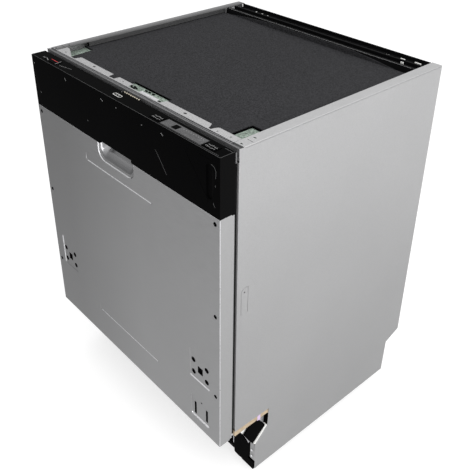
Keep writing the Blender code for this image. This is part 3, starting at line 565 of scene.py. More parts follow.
def front_tie():
    """Front tie: toothed flange with corner plates, the web, the groove with its knurl, and the lip; lip and
    knurl are in a darker zinc copy as painted shade, and a bright rim strip is a painted highlight.
    """
    back, web, notch = -0.2262, -0.2425, -0.2402
    step = back - 0.0012
    left = RAIL_HALF - 0.0022
    flange = [
        (-RAIL_HALF, web), (RAIL_HALF, web), (RAIL_HALF, back), (0.224, back), (0.2205, -0.2285),
        (0.218, -0.234), (0.217, notch), (0.211, notch), (0.2085, -0.234), (0.203, back), (0.083, back),
        (0.0795, notch), (-0.019, notch), (-0.02, step), (-0.064, step), (-0.066, notch), (-0.0835, notch),
        (-0.085, step), (-0.204, back), (-0.208, notch), (-0.22, notch), (-0.264, -0.2185), (-left, -0.217),
        (-RAIL_HALF, -0.217),
    ]
    holes = Shape()
    for x, y, wide, deep in (
        (-0.143, -0.2345, 0.004, 0.0022), (0.143, -0.2345, 0.004, 0.0022), (0.23, -0.2375, 0.0016, 0.0014),
        (-0.252, -0.235, 0.002, 0.002), (0.26, -0.235, 0.002, 0.002), (-0.042, -0.235, 0.0016, 0.0016),
    ):
        holes.plate(pill(x, y, wide, deep, deep * 0.95), "Z", TOP - 0.004, TOP + 0.002)
    top = Shape().plate(flange, "Z", TOP - 0.001, TOP)
    piece("front_tie_flange", top, "cabinet", "galvanised", ("top_front_rail",), 0.00025, cuts=(holes,))
    profile = [
        (web, TOP - 0.0012), (web, 0.8115), (-0.249, 0.8115), (-0.249, TOP - 0.0008), (-0.2494, TOP - 0.0003),
        (-0.2514, TOP - 0.0003), (-0.2518, TOP - 0.0008), (-0.2518, 0.793), (-0.2508, 0.793),
        (-0.2508, 0.8105), (-0.2414, 0.8105), (-0.2414, TOP - 0.0012),
    ]
    mouth = Shape().box((0.004, -0.26, 0.797), (0.032, -0.2505, 0.8045))
    lip = Shape().plate(profile, "X", -HALF + 0.0016, HALF - 0.0016)
    piece("front_tie_lip", lip, "cabinet", "shaded_zinc", bevel=0.0002, cuts=(mouth,))
    pitch = 0.005
    teeth = Shape()
    for k in range(int(2 * RAIL_HALF / pitch)):
        x = -RAIL_HALF + pitch * (k + 0.25)
        teeth.box((x, -0.2488, 0.8112), (x + pitch * 0.5, -0.2427, 0.814))
    piece("front_tie_knurl", teeth, "cabinet", "shaded_zinc", bevel=0.0002)
    # Bright strip along the top of the web: painted highlight.
    rim = Shape().box((-RAIL_HALF, -0.2426, TOP - 0.0009), (RAIL_HALF, -0.2418, TOP - 0.0001))
    piece("front_tie_rim_highlight", rim, "cabinet", "bright_zinc_and_highlight", bevel=0.0002)
    ridge = Shape()
    for low, high in ((-0.018, -0.0125), (0.044, 0.078)):
        ridge.box((low, -0.2412, 0.8128), (high, -0.2396, 0.8146))
    ridge.box((0.0, -0.2422, 0.803), (0.034, -0.2385, 0.8044))
    piece("strike_guide", ridge, "cabinet", "bright_zinc_and_highlight", bevel=0.0003)


def rear_tie():
    """Black rear tie with two rows of ribs, light edges and clips, and the mat's turned-up rear edge."""
    refined("top_rear_rail", "cabinet", "black_plastic")
    ribs = Shape()
    for x in spaced(-0.264, 0.264, 24):
        ribs.box((x - 0.0006, 0.2362, 0.8078), (x + 0.0006, 0.2538, 0.8105))
        ribs.box((x - 0.0006, 0.2592, 0.8078), (x + 0.0006, 0.2828, 0.8105))
    piece("rear_tie_ribs", ribs, "cabinet", "black_plastic", bevel=0.0002)
    edges = Shape()
    for y, wide in ((0.2305, 0.0007), (0.2568, 0.0004)):
        edges.box((-0.268, y - wide, TOP - 0.0004), (0.268, y + wide, TOP - 0.0001))
    piece("rear_tie_edges", edges, "cabinet", "print_and_highlight_grey")
    apron = [
        (-0.255, 0.8034), (0.235, 0.8034), (0.18, 0.8095), (0.12, 0.814), (-0.12, 0.814), (-0.195, 0.8095),
    ]
    piece("mat_apron", Shape().plate(apron, "Y", 0.2246, 0.2263), "cabinet", "mat", bevel=0.0004)
    clips = Shape()
    for x, y, wide in (
        (-0.205, 0.263, 0.0018), (-0.184, 0.262, 0.0018), (-0.165, 0.261, 0.0018), (0.189, 0.26, 0.005),
        (0.224, 0.264, 0.0055), (0.234, 0.2475, 0.0035), (0.258, 0.267, 0.0075),
    ):
        clips.plate(pill(x, y, wide, 0.0016, 0.0012), "Z", 0.8083, 0.8138)
    piece("rear_tie_clips", clips, "cabinet", "print_pale")


def top_layers():
    """Damping mat with its cut-outs and black strips along their edges as painted shadow, the felt under it,
    and the strike plate.
    """
    middle = [
        (-0.0525, -0.206), (-0.0505, -0.2018), (0.0635, -0.2018), (0.064, -0.242), (0.06, -0.242),
        (0.0535, -0.206),
    ]
    corner = [(0.232, -0.242), (0.2345, -0.1628), (0.291, -0.1628), (0.291, -0.242)]
    room = [Shape().plate(outline, "Z", 0.798, 0.805) for outline in (middle, corner)]
    refined("top_mat", "cabinet", "mat", 0.0008, cuts=room)
    # Black strips along the cut-outs' edges: painted shadow.
    edge = Shape().box((-0.05, -0.2024, 0.7993), (0.063, -0.2019, 0.803))
    edge.box((0.0632, -0.238, 0.7993), (0.0637, -0.202, 0.803))
    edge.box((0.234, -0.165, 0.7993), (0.289, -0.1634, 0.8028))
    corner_side = [(0.2331, -0.208), (0.234, -0.165), (0.2352, -0.165), (0.2343, -0.208)]
    edge.plate(corner_side, "Z", 0.7993, 0.8028)
    piece("mat_edge_shadow", edge, "cabinet", "deep_black")
    refined("top_insulation", "cabinet", "felt", 0.0008)
    patch = Shape().box((-0.0119, -0.2195, 0.791), (0.0459, -0.2036, 0.799))
    piece("felt_patch", patch, "cabinet", "felt", bevel=0.0008)
    strike = Shape().box((-0.01, -0.2385, 0.7998), (0.044, -0.215, 0.8013))
    strike.box((0.008, -0.264, 0.7999), (0.028, -0.2386, 0.8012))
    strike.box((-0.0075, -0.2215, 0.7893), (0.0415, -0.2201, 0.7997))
    piece("strike_plate", strike, "cabinet", "bright_zinc_and_highlight", ("latch_strike",), 0.0004)
    marks = Shape()
    for x, y in (
        (-0.05, -0.212), (-0.046, -0.215), (-0.04, -0.2175), (-0.033, -0.2185), (-0.029, -0.215),
        (-0.036, -0.213), (-0.006, -0.2085), (0.004, -0.208), (0.016, -0.208), (0.049, -0.219),
    ):
        marks.plate(pill(x, y, 0.0034, 0.0015, 0.0013), "Z", 0.7996, 0.8012)
    piece("felt_marks", marks, "cabinet", "black_plastic", bevel=0.0003)


def toe_kick():
    """Plinth cover and its ribs, foam strip and tape, brackets, cord guides, hinge covers, skids and hems."""
    ribs = Shape()
    for x in spaced(-0.266, 0.266, 15):
        ribs.box((x - 0.001, -0.1915, 0.026), (x + 0.001, -0.1894, 0.106))
    for z in (0.03, 0.06, 0.09):
        ribs.box((-0.276, -0.1908, z - 0.0009), (0.276, -0.1894, z + 0.0009))
    piece("plinth_ribs", ribs, "cabinet", "black_plastic", bevel=0.0003)
    refined("plinth_panel", "cabinet", "black_plastic")
    refined("foam_strip", "cabinet", "foam", 0.001)
    tape = Shape().box((0.2967, -0.1885, 0.164), (0.2972, -0.1805, 0.1802))
    piece("foam_tape", tape, "cabinet", "lilac")
    guide = [
        (-0.2245, 0.149), (-0.2075, 0.1658), (-0.185, 0.1658), (-0.1655, 0.137), (-0.166, 0.133),
        (-0.199, 0.1035), (-0.209, 0.119),
    ]
    cover = [
        (-0.246, 0.164), (-0.2345, 0.166), (-0.2235, 0.1475), (-0.211, 0.12), (-0.2035, 0.1),
        (-0.2035, 0.064), (-0.215, 0.064), (-0.222, 0.072), (-0.233, 0.09), (-0.244, 0.112), (-0.2462, 0.133),
    ]
    gusset = [(-0.2355, 0.1662), (-0.205, 0.1662), (-0.2235, 0.147)]
    hem = [(-0.159, 0.131), (-0.1925, 0.0972), (-0.1958, 0.1003), (-0.1622, 0.1343)]
    skids = (
        (0.26, 0.2955, 0.0175, 0.04), (0.237, 0.26, 0.0195, 0.03), (0.214, 0.237, 0.029, 0.042),
        (0.2625, 0.2795, 0.04, 0.112),
    )
    dome = [(0.003, -0.0014), (0.003, -0.0016), (0.0022, -0.0024), (0.0, -0.0027)]
    for word, side in SIDES:
        refined(f"hinge_bracket_{word}", "cabinet", "bright_zinc_and_highlight", 0.0003)
        rivets, skid = Shape(), Shape()
        for z in (0.056, 0.0735):
            rivets.turned(dome, (side * 0.29, -0.1935, z), "Y", 16)
        piece(f"toe_rivets_{word}", rivets, "cabinet", "bright_zinc_and_highlight")
        for near, far, low_z, high_z in skids:
            a, b = sorted((side * near, side * far))
            skid.box((a, -0.195, low_z), (b, -0.1898, high_z))
        piece(f"base_skid_{word}", skid, "cabinet", "deep_black", bevel=0.0006)
        for name, outline, near, far, finish, stands_for, bevel in (
            (f"cord_guide_{word}_cover", guide, 0.293, 0.2972, "deep_black", (f"cord_guide_{word}",), 0.0012),
            (f"hinge_cover_{word}", cover, 0.2899, 0.2914, "deep_black", (), 0.0005),
            (f"hinge_gusset_{word}", gusset, 0.2899, 0.2914, "white_plastic", (), 0.0004),
            (f"notch_hem_{word}", hem, 0.29, 0.2978, "white_plastic", (), 0.0003),
        ):
            shape = Shape().plate(outline, "X", *sorted((side * near, side * far)))
            piece(name, shape, "cabinet", finish, stands_for, bevel)


# ---------------------------------------------------------------- door outside


def tapered(outline_low, outline_high, y_low, y_high):
    """Cutter for a pressed area, with slanting walls between two outlines in (x, z)."""
    levels = ((outline_low, y_low), (outline_high, y_high))
    return Shape().loft([[(x, y, z) for x, z in line] for line, y in levels])


def pressed(x_low, x_high, z_low, z_high, depth, draft, radius, ledge):
    """Shallow pocket pressed into the door skin; ledge widens its lower slope."""
    wide = rounded(x_low, x_high, z_low, z_high, radius, 3)
    z_in = z_low + max(draft, ledge)
    narrow = rounded(x_low + draft, x_high - draft, z_in, z_high - draft, radius * 0.8, 3)
    return tapered(wide, narrow, FRONT - 0.0003, FRONT + depth)


def door_skin():
    """Steel door skin with its pressed bracket places, screw holes, slots and the handle's recess."""
    low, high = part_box("outer_door_panel")
    wall = 0.0028
    rings = []
    for inset, y in ((0.0, low.y), (0.0, high.y), (wall, high.y), (wall, low.y + wall)):
        x_low, x_high, z_low, z_high = low.x + inset, high.x - inset, low.z + inset, high.z - inset
        rings.append([(x_low, y, z_low), (x_high, y, z_low), (x_high, y, z_high), (x_low, y, z_high)])
    recesses = [
        pressed(-0.1125, 0.1125, 0.64, 0.658, 0.0012, 0.0008, 0.005, 0.0015),
        pressed(-0.12, 0.104, 0.247, 0.266, 0.0008, 0.0006, 0.004, 0.001),
        pressed(0.209, 0.268, 0.296, 0.369, 0.0013, 0.0012, 0.003, 0.0034),
        tapered(
            rounded(-0.268, -0.209, 0.296, 0.376, 0.003, 3),
            rounded(-0.2656, -0.2102, 0.2968, 0.3748, 0.002, 3), FRONT - 0.0003, FRONT + 0.0013,
        ),
        pressed(0.21, 0.266, 0.191, 0.246, 0.0022, 0.0012, 0.003, 0.0034),
    ]
    through = (FRONT - 0.01, FRONT + 0.01)
    openings = Shape().plate(rounded(-0.0615, 0.059, 0.664, 0.73, 0.021, 8), "Y", *through)
    # Places whose hole and slot walls are painted black as painted shade.
    dark_spots = [(0.2214, 0.2138, 0.0038, 0.0172), (0.2561, 0.2168, 0.0038, 0.0167)]
    dark_spots.append((0.24, 0.241, 0.003, 0.003))
    for side in (-1, 1):
        holes = [(0.285, z, 0.004, 16, 0.005) for z in (0.298, 0.4935, 0.687)]
        holes += [(x, z, 0.0056, 20, 0.0066) for x in (0.219, 0.258) for z in (0.3125, 0.343)]
        for x, z, radius, steps, reach in holes:
            openings.turned([(radius, -0.01), (radius, 0.01)], (side * x, FRONT, z), "Y", steps)
            dark_spots.append((side * x, z, reach, reach))
        square = ((0.232, 0.319), (0.246, 0.319), (0.246, 0.3355), (0.232, 0.3355))
        openings.plate([(side * x, z) for x, z in square], "Y", *through)
        dark_spots.append((side * 0.239, 0.3273, 0.008, 0.0092))
    openings.plate(rounded(0.2186, 0.2242, 0.1975, 0.23, 0.001), "Y", *through)
    openings.plate(rounded(0.2533, 0.2589, 0.201, 0.2325, 0.001), "Y", *through)
    openings.turned([(0.0019, -0.01), (0.0019, 0.01)], (0.24, FRONT, 0.241), "Y", 12)

    def choose(face):
        middle, normal = face.center, face.normal
        sunk = FRONT + 0.0001 < middle.y < FRONT + 0.003
        # Side faces take the lighter door_side copy: painted light.
        if not (sunk and abs(middle.x) < 0.296 and 0.185 < middle.z < 0.7):
            return 3 if abs(normal.x) > 0.3 and abs(middle.x) > 0.296 else 0
        # Walls of the holes and slots take deep black: painted shade.
        spots = (abs(middle.x - x) < wide and abs(middle.z - z) < high for x, z, wide, high in dark_spots)
        if abs(normal.y) < 0.93 and any(spots):
            return 2
        # Slopes of the pressed places that face the light take bright zinc: painted highlight.
        faces_light = normal.x > 0.3 if middle.x < -0.2 else normal.z > 0.3
        return 1 if face.area > 2e-6 and abs(normal.y) < 0.97 and faces_light else 0

    skin = piece(
        "door_skin", Shape().loft(rings), "door", "door_steel", ("outer_door_panel",), 0.0005, 3,
        cuts=(*recesses, openings), cut_first=True,
    )
    repaint(skin, choose, "bright_zinc_and_highlight", "deep_black", "door_side")
    # The returns take the lighter door_side copy: painted light.
    returns = Shape().pair(0.2957, 0.297, (high.y - 0.0002, high.y + 0.0052), (low.z + 0.003, 0.698))
    piece("door_returns", returns, "door", "door_side", bevel=0.0003)
    # Black plates behind the holes: painted shade.
    hole_shadows = Shape()
    for z_span in ((0.29, 0.375), (0.185, 0.245)):
        hole_shadows.pair(0.212, 0.294, (low.y + 0.004, low.y + 0.006), z_span)
    for x in (-0.285, 0.285):
        for z in (0.4935, 0.687):
            hole_shadows.turned([(0.005, 0.004), (0.005, 0.006)], (x, low.y, z), "Y", 16)
    piece("door_hole_shadows", hole_shadows, "door", "deep_black", bevel=0.0003)
    # Bright strip along the door's front right edge: painted highlight.
    rim = Shape().box((0.2961, -0.28998, low.z + 0.0006), (0.29708, -0.2884, 0.6985))
    piece("door_edge_highlight", rim, "door", "bright_zinc_and_highlight", bevel=0.0002)


def handle_bowl():
    """Polished finger pocket: a flange in the skin's recess, and a bowl that runs up behind the fascia."""
    rings = (
        (-0.0613, 0.0588, 0.6642, 0.726, 0.0208, 0.0003), (-0.06, 0.0575, 0.6656, 0.7255, 0.0196, 0.0016),
        (-0.0555, 0.0537, 0.671, 0.724, 0.0175, 0.0024), (-0.053, 0.0512, 0.6765, 0.724, 0.014, 0.0056),
        (-0.051, 0.05, 0.6815, 0.725, 0.011, 0.0085), (-0.05, 0.049, 0.685, 0.726, 0.01, 0.013),
        (-0.047, 0.046, 0.69, 0.7265, 0.01, 0.019), (-0.042, 0.041, 0.698, 0.7255, 0.009, 0.024),
        (-0.034, 0.033, 0.704, 0.72, 0.007, 0.0265),
    )
    shape = Shape()
    shape.loft([[(x, FRONT + row[5], z) for x, z in rounded(*row[:5], 8)] for row in rings])
    shape.bm.faces.ensure_lookup_table()
    mouth = shape.bm.faces[-2]
    shape.bm.faces.remove(mouth)
    sheet = linked("bowl", shape)
    wall = sheet.modifiers.new("wall", "SOLIDIFY")
    wall.thickness = 0.0006
    wall.offset = 1.0 if sheet.data.polygons[-1].normal.y > 0 else -1.0
    settle(sheet)
    solid = Shape()
    solid.bm.from_mesh(sheet.data)
    bpy.data.objects.remove(sheet)

    def choose(face):
        deep = face.center.y - FRONT
        if 0.0014 < deep < 0.0026:
            return 1
        # Shallow faces turned up or to the right take bright zinc: painted highlight.
        return 2 if deep < 0.0014 and face.normal.z + face.normal.x > 0.3 else 0

    bowl = piece("handle_bowl", solid, "door", "polished", ("handle_pocket",), angle=60.0)
    repaint(bowl, choose, "door_steel", "bright_zinc_and_highlight")


def fascia_cover():
    """Black fascia with small sink marks, a moulded line, a recess at its right end and rounded edges; light
    strips in the sink marks and beside the recess are painted highlights, and its end faces are a lighter
    copy as painted light.
    """
    marks, mark_highlights = Shape(), Shape()
    ticks = (
        (-0.1655, 0.7992, -0.1596, 0.7944), (-0.036, 0.7988, -0.028, 0.7956), (0.1484, 0.7982, 0.154, 0.7945),
        (0.092, 0.7928, 0.0934, 0.7914), (-0.0905, 0.735, -0.0891, 0.7336), (0.0147, 0.7986, 0.0161, 0.7966),
        (-0.2755, 0.7355, -0.2735, 0.733), (-0.2885, 0.796, -0.287, 0.7935),
    )
    for x_low, z_low, x_high, z_high in ticks:
        ends = ((x_low, z_low), (x_high, z_high))
        bar(marks, ends, 0.0013, FRONT - 0.001, FRONT + 0.0004)
        # Light strips in the sink marks: painted highlight.
        bar(mark_highlights, ends, 0.0009, FRONT + 0.00005, FRONT + 0.0005)
    dim = Shape()
    # The last three lines, beside the right-end recess, are painted highlights.
    for points in (
        ((0.1301, 0.76), (0.143, 0.7448), (0.1595, 0.7232)),
        ((0.276, 0.7933), (0.2835, 0.7912), (0.2876, 0.785), (0.287, 0.772)),
        ((0.2862, 0.76), (0.2862, 0.756)), ((0.2812, 0.725), (0.2822, 0.721), (0.286, 0.719)),
    ):
        ribbon(marks, points, 0.0011, FRONT - 0.001, FRONT + 0.0003)
        ribbon(dim, points, 0.0008, FRONT + 0.00005, FRONT + 0.0004)
    piece("fascia_lines", dim, "door", "edge_grey")
    folds = Shape()
    for ends in (((0.212, 0.7935), (0.27, 0.723)), ((0.248, 0.8002), (0.273, 0.8))):
        bar(folds, ends, 0.0007, FRONT - 0.001, FRONT + 0.0003)
    niche = tapered(
        rounded(0.264, 0.279, 0.728, 0.7915, 0.006), rounded(0.2655, 0.2775, 0.7295, 0.79, 0.0048),
        FRONT - 0.0003, FRONT + 0.002,
    )

    # End faces take the lighter fascia_side copy: painted light.
    def choose(face):
        return 1 if abs(face.normal.x) > 0.9 and abs(face.center.x) > 0.29 else 0

    cover = refined("fascia", "door", "fascia", 0.0007, 3, (marks, folds, niche))
    repaint(cover, choose, "fascia_side")
    piece("sink_mark_highlights", mark_highlights, "door", "print_and_highlight_grey")


def fascia_edge_highlights():
    """Lighter lines on the fascia's top: painted highlights along its front edge and its right end, and two
    more lines further back.
    """
    low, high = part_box("fascia")
    edges = Shape()
    for start, end, width in (
        ((low.x + 0.001, FRONT + 0.0008), (high.x - 0.001, FRONT + 0.0008), 0.0006),
        ((high.x - 0.0006, FRONT + 0.001), (high.x - 0.0006, high.y - 0.001), 0.0006),
        ((0.1385, -0.2862), (0.29, -0.2862), 0.0006), ((0.278, -0.263), (0.295, -0.263), 0.0008),
    ):
        stroke(edges, [start, end], width, high.z)
    piece("fascia_edge_highlights", edges, "door", "edge_grey")


def band(points, width):
    """Outline of a narrow band that follows the points."""
    line = [Vector(point) for point in points]
    left, right = [], []
    for k, point in enumerate(line):
        along = (line[min(k + 1, len(line) - 1)] - line[max(k - 1, 0)]).normalized()
        across = Vector((-along.y, along.x)) * width / 2
        left.append(tuple(point + across))
        right.append(tuple(point - across))
    return right + left[::-1]


def ribbon(shape, points, width, y_low, y_high):
    """Narrow band on the fascia's front that follows (x, z) points."""
    return shape.plate(band(points, width)[::-1], "Y", y_low, y_high)


def bar(shape, ends, width, y_low, y_high):
    """Narrow straight bar on the fascia's front between two (x, z) points."""
    return shape.plate(band(ends, width), "Y", y_low, y_high)


def stroke(shape, points, width, z):
    """Printed line on the fascia's top, drawn as thin flat bars through (x, y) points."""
    for ends in zip(points, points[1:]):
        shape.plate(band(ends, width), "Z", z, z + PRINT)
    return shape


def fascia_print():
    """Generic control marks: a red bar at the power key, an oval over the latch, and short dashes."""
    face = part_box("fascia")[1].z + 0.00001
    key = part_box("power_button")[1].z + 0.00001
    red = stroke(Shape(), [(-0.2404, -0.2738), (-0.2144, -0.2743)], 0.0011, key)
    piece("power_symbol", red, "power_button", "print_red")
    grey = stroke(Shape(), [(-0.2113, -0.2826), (-0.2138, -0.2675)], 0.0012, key)
    stroke(grey, [(-0.2521, -0.278), (-0.2398, -0.2823)], 0.0014, key)
    piece("power_print", grey, "power_button", "print_and_highlight_grey")
    oval = rounded(-0.013, 0.01, -0.2775, -0.2705, 0.0034, 8)
    piece("oval_print", stroke(Shape(), oval + oval[:1], 0.0013, face), "door", "print_pale")
    dark = Shape()
    for x0, y0, x1, y1, width in (
        (-0.008, -0.274, -0.0035, -0.274, 0.0014), (0.001, -0.274, 0.0055, -0.274, 0.0014),
        (-0.1997, -0.2794, -0.1651, -0.2721, 0.0005), (-0.266, -0.28, -0.2642, -0.276, 0.0012),
        (-0.26, -0.28, -0.2582, -0.276, 0.0012), (-0.01, -0.26, -0.0085, -0.26, 0.0014),
    ):
        stroke(dark, [(x0, y0), (x1, y1)], width, face)
    piece("fascia_print", dark, "door", "print_and_highlight_grey")
    dashes = (
        (-0.0105, -0.28, -0.0075, -0.2775), (-0.0055, -0.281, -0.0055, -0.278),
        (-0.003, -0.2795, 0.001, -0.2795), (0.0035, -0.281, 0.0065, -0.2785), (0.0085, -0.279, 0.011, -0.279),
        (-0.0095, -0.2735, -0.006, -0.2735), (-0.004, -0.275, -0.0015, -0.272),
        (0.001, -0.274, 0.001, -0.271), (0.0035, -0.2735, 0.0075, -0.2735), (0.009, -0.2752, 0.0108, -0.2722),
    )
    for name, middle in (("program_button", 0.1215), ("start_button", 0.261)):
        icons = Shape()
        for x0, y0, x1, y1 in dashes:
            stroke(icons, [(middle + x0, y0), (middle + x1, y1)], 0.001, key)
        piece(f"{name}_print", icons, name, "print_and_highlight_grey")
        refined(name, name, "fascia", 0.0004, 3)
    refined("power_button", "power_button", "fascia", 0.0004, 3)
    refined("display_panel", "door", "display", 0.0002)
    overlay = 0.81212
    window = Shape().box((0.1635, -0.2812, overlay), (0.1772, -0.268, overlay + 0.0001))
    piece("display_window", window, "door", "fascia")
    leds = Shape()
    for k in range(9):
        x = 0.184 + 0.0062 * k
        stroke(leds, [(x, -0.27), (x + 0.0022, -0.27)], 0.001, overlay)
    piece("display_marks", leds, "door", "print_and_highlight_grey")


def latch_and_gap():
    """Latch with its beige comb, the seals between door and cabinet, and the corner clips."""
    refined("door_latch", "door", "black_plastic", 0.0005)
    seals = Shape().pair(0.2937, 0.2958, (-0.2632, -0.2536), (0.18, 0.698))
    seals.pair(0.2937, 0.2958, (-0.2577, -0.2536), (0.6981, 0.79))
    piece("door_side_seals", seals, "door", "black_plastic", bevel=0.0006)
    beading = Shape().pair(0.2953, 0.2962, (-0.258, -0.2572), (0.185, 0.695))
    piece("door_seal_beads", beading, "door", "edge_grey", bevel=0.0002)
    comb = Shape()
    for k in range(8):
        x = -0.0065 + 0.0063 * k
        comb.box((x, -0.2574, 0.8108), (x + 0.0032, -0.2551, 0.8122))
    piece("latch_comb", comb, "door", "beige", bevel=0.0003)
    lip = Shape()
    for low, high in ((-0.292, -0.013), (0.049, 0.292)):
        lip.box((low, -0.2576, 0.8), (high, -0.2558, 0.8095))
    lip.box((0.122, -0.256, 0.808), (0.29, -0.2535, 0.81))
    piece("door_top_lip", lip, "door", "rubber", bevel=0.0005)
    # The clips in the gap take the darker zinc copy: painted shade.
    clips = Shape().pair(0.294, 0.2966, (-0.2575, -0.2545), (0.7905, 0.809))
    piece("corner_clips", clips, "door", "shaded_zinc", bevel=0.0004)


# ---------------------------------------------------------------- small helpers


def bead(shape, axis, a_low, a_high, b_low, b_high, base, top):
    """Pressed rib on a flat face: a rounded rectangle whose walls slant in from base to top."""
    slant = abs(top - base) * 1.6
    radius = min(a_high - a_low, b_high - b_low) * 0.45
    foot = rounded(a_low, a_high, b_low, b_high, radius, 5)
    head = rounded(a_low + slant, a_high - slant, b_low + slant, b_high - slant, radius - slant * 0.9, 5)
    rings = [[placed(a, b, base, axis) for a, b in foot], [placed(a, b, top, axis) for a, b in head]]
    return shape.loft(rings)


def screw(shape, place, axis, out, radius=0.0035):
    """Domed screw head with a socket; out is +1 or -1 along the axis."""
    parts = ((1.0, -0.25), (1.0, 0.15), (0.85, 0.45), (0.5, 0.62), (0.42, 0.62), (0.36, 0.25), (0.0, 0.25))
    return shape.turned([(radius * a, out * radius * b) for a, b in parts], place, axis, 18)


def framed(inset, low, high, radius, y):
    """Ring of a rounded rectangle in the (x, z) plane, drawn in by inset from a box's outline."""
    outline = rounded(low.x + inset, high.x - inset, low.z + inset, high.z - inset, radius, 6)
    return [(x, y, z) for x, z in outline]


def swung(points, turn, middle):
    """Outline points swung by an angle about the origin, then moved to the middle."""
    along, across = math.cos(turn), math.sin(turn)
    return [(middle[0] + a * along - b * across, middle[1] + a * across + b * along) for a, b in points]


# ---------------------------------------------------------------- tub and inner door


def tub_shell():
    """Deep-drawn tub with round corners, its front flange, floor holes and pressed beads."""
    low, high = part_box("tub")
    sheet, deep, step, half, floor = 0.0012, 0.006, 0.0018, 0.27, 0.165
    wall = (Vector((-half, low.y, floor)), Vector((half, high.y, 0.789)))
    rings = [
        framed(deep, *wall, 0.014, high.y), framed(step, *wall, 0.019, high.y - step),
        framed(0, *wall, 0.02, high.y - deep), framed(0, *wall, 0.02, low.y + sheet),
        framed(0, low, high, 0.006, low.y + sheet), framed(0, low, high, 0.006, low.y),
        framed(sheet, *wall, 0.0188, low.y), framed(sheet, *wall, 0.0188, high.y - deep),
        framed(sheet + step, *wall, 0.018, high.y - sheet - step),
        framed(sheet + deep, *wall, 0.013, high.y - sheet),
    ]
    holes = Shape()
    sump, neck = middle_of("filter_plate"), middle_of("salt_cap")
    drains = ((sump.x, sump.y, 0.0575, 48), (neck.x, neck.y, 0.0285, 48), (0, 0, 0.015, 32))
    for x, y, radius, steps in drains:
        holes.turned([(radius, -0.01), (radius, 0.01)], (x, y, floor), "Z", steps)
    piece("tub_shell", Shape().loft(rings), "cabinet", "stainless", ("tub",), cuts=(holes,))
    beads = Shape()
    back, side = high.y - sheet, half - sheet
    for x in (-0.19, -0.08, 0.08, 0.19):
        bead(beads, "Y", x - 0.012, x + 0.012, 0.235, 0.735, back + 0.0002, back - 0.0016)
    for z in (0.3, 0.39, 0.46, 0.64, 0.71):
        for sign in (-1, 1):
            base, top = sign * (side + 0.0002), sign * (side - 0.0014)
            bead(beads, "X", -0.195, 0.225, z - 0.006, z + 0.006, base, top)
    for x in (-0.2, -0.1, 0.1, 0.2):
        bead(beads, "Z", x - 0.009, x + 0.009, -0.19, 0.21, 0.788, 0.7864)
    for y in (-0.17, -0.12, 0.18, 0.225):
        bead(beads, "Z", -0.2, 0.2, y - 0.005, y + 0.005, 0.166, 0.1674)
    piece("tub_beads", beads, "cabinet", "stainless", angle=50.0)


def door_seal():
    """Rubber seal round the mouth of the tub."""
    low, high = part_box("tub_gasket")
    profile = (
        (0, 0.02, high.y), (0, 0.02, low.y + 0.005), (0.002, 0.018, low.y + 0.0012), (0.005, 0.016, low.y),
        (0.008, 0.014, low.y + 0.0012), (0.01, 0.012, low.y + 0.005), (0.01, 0.012, high.y),
    )
    rings = [framed(inset, low, high, radius, y) for inset, radius, y in profile]
    piece("door_seal", Shape().loft(rings, closed=True), "cabinet", "rubber", ("tub_gasket",), angle=50.0)


def inner_skin():
    """Stainless inner door: rim, flat border, raised centre with round corners, beads and screws."""
    low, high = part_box("inner_door")
    plate, sheet = -0.2535, 0.001
    step = (Vector((-0.258, 0, 0.205)), Vector((0.258, 0, 0.765)))
    face = (Vector((-0.25, 0, 0.213)), Vector((0.25, 0, 0.757)))
    rings = [
        framed(sheet, *face, 0.023, high.y - sheet), framed(sheet, *step, 0.031, plate - sheet),
        framed(sheet, low, high, 0.003, plate - sheet), framed(sheet, low, high, 0.003, low.y),
        framed(0, low, high, 0.004, low.y), framed(0, low, high, 0.004, plate),
        framed(0, *step, 0.032, plate), framed(0, *face, 0.024, high.y - 0.002),
        framed(0.002, *face, 0.022, high.y),
    ]
    opening = Shape().box((-0.0855, -0.25, 0.4295), (0.0755, -0.22, 0.5805))
    slot = Shape().box((-0.014, -0.272, 0.77), (0.05, -0.25, 0.82))
    piece("inner_skin", Shape().loft(rings), "door", "stainless", ("inner_door",), cuts=(opening, slot))
    beads = Shape()
    base, top = high.y - 0.0002, high.y + 0.0014
    for x in (-0.214, 0.214):
        bead(beads, "Y", x - 0.009, x + 0.009, 0.25, 0.72, base, top)
    for z in (0.25, 0.29, 0.655, 0.7):
        bead(beads, "Y", -0.17, 0.17, z - 0.008, z + 0.008, base, top)
    piece("inner_skin_beads", beads, "door", "stainless", angle=50.0)
    screws = Shape()
    for side in (-1, 1):
        for k in range(6):
            screw(screws, (side * 0.2865, plate, 0.215 + 0.11 * k), "Y", 1)
    piece("inner_door_screws", screws, "door", "bright_zinc_and_highlight")


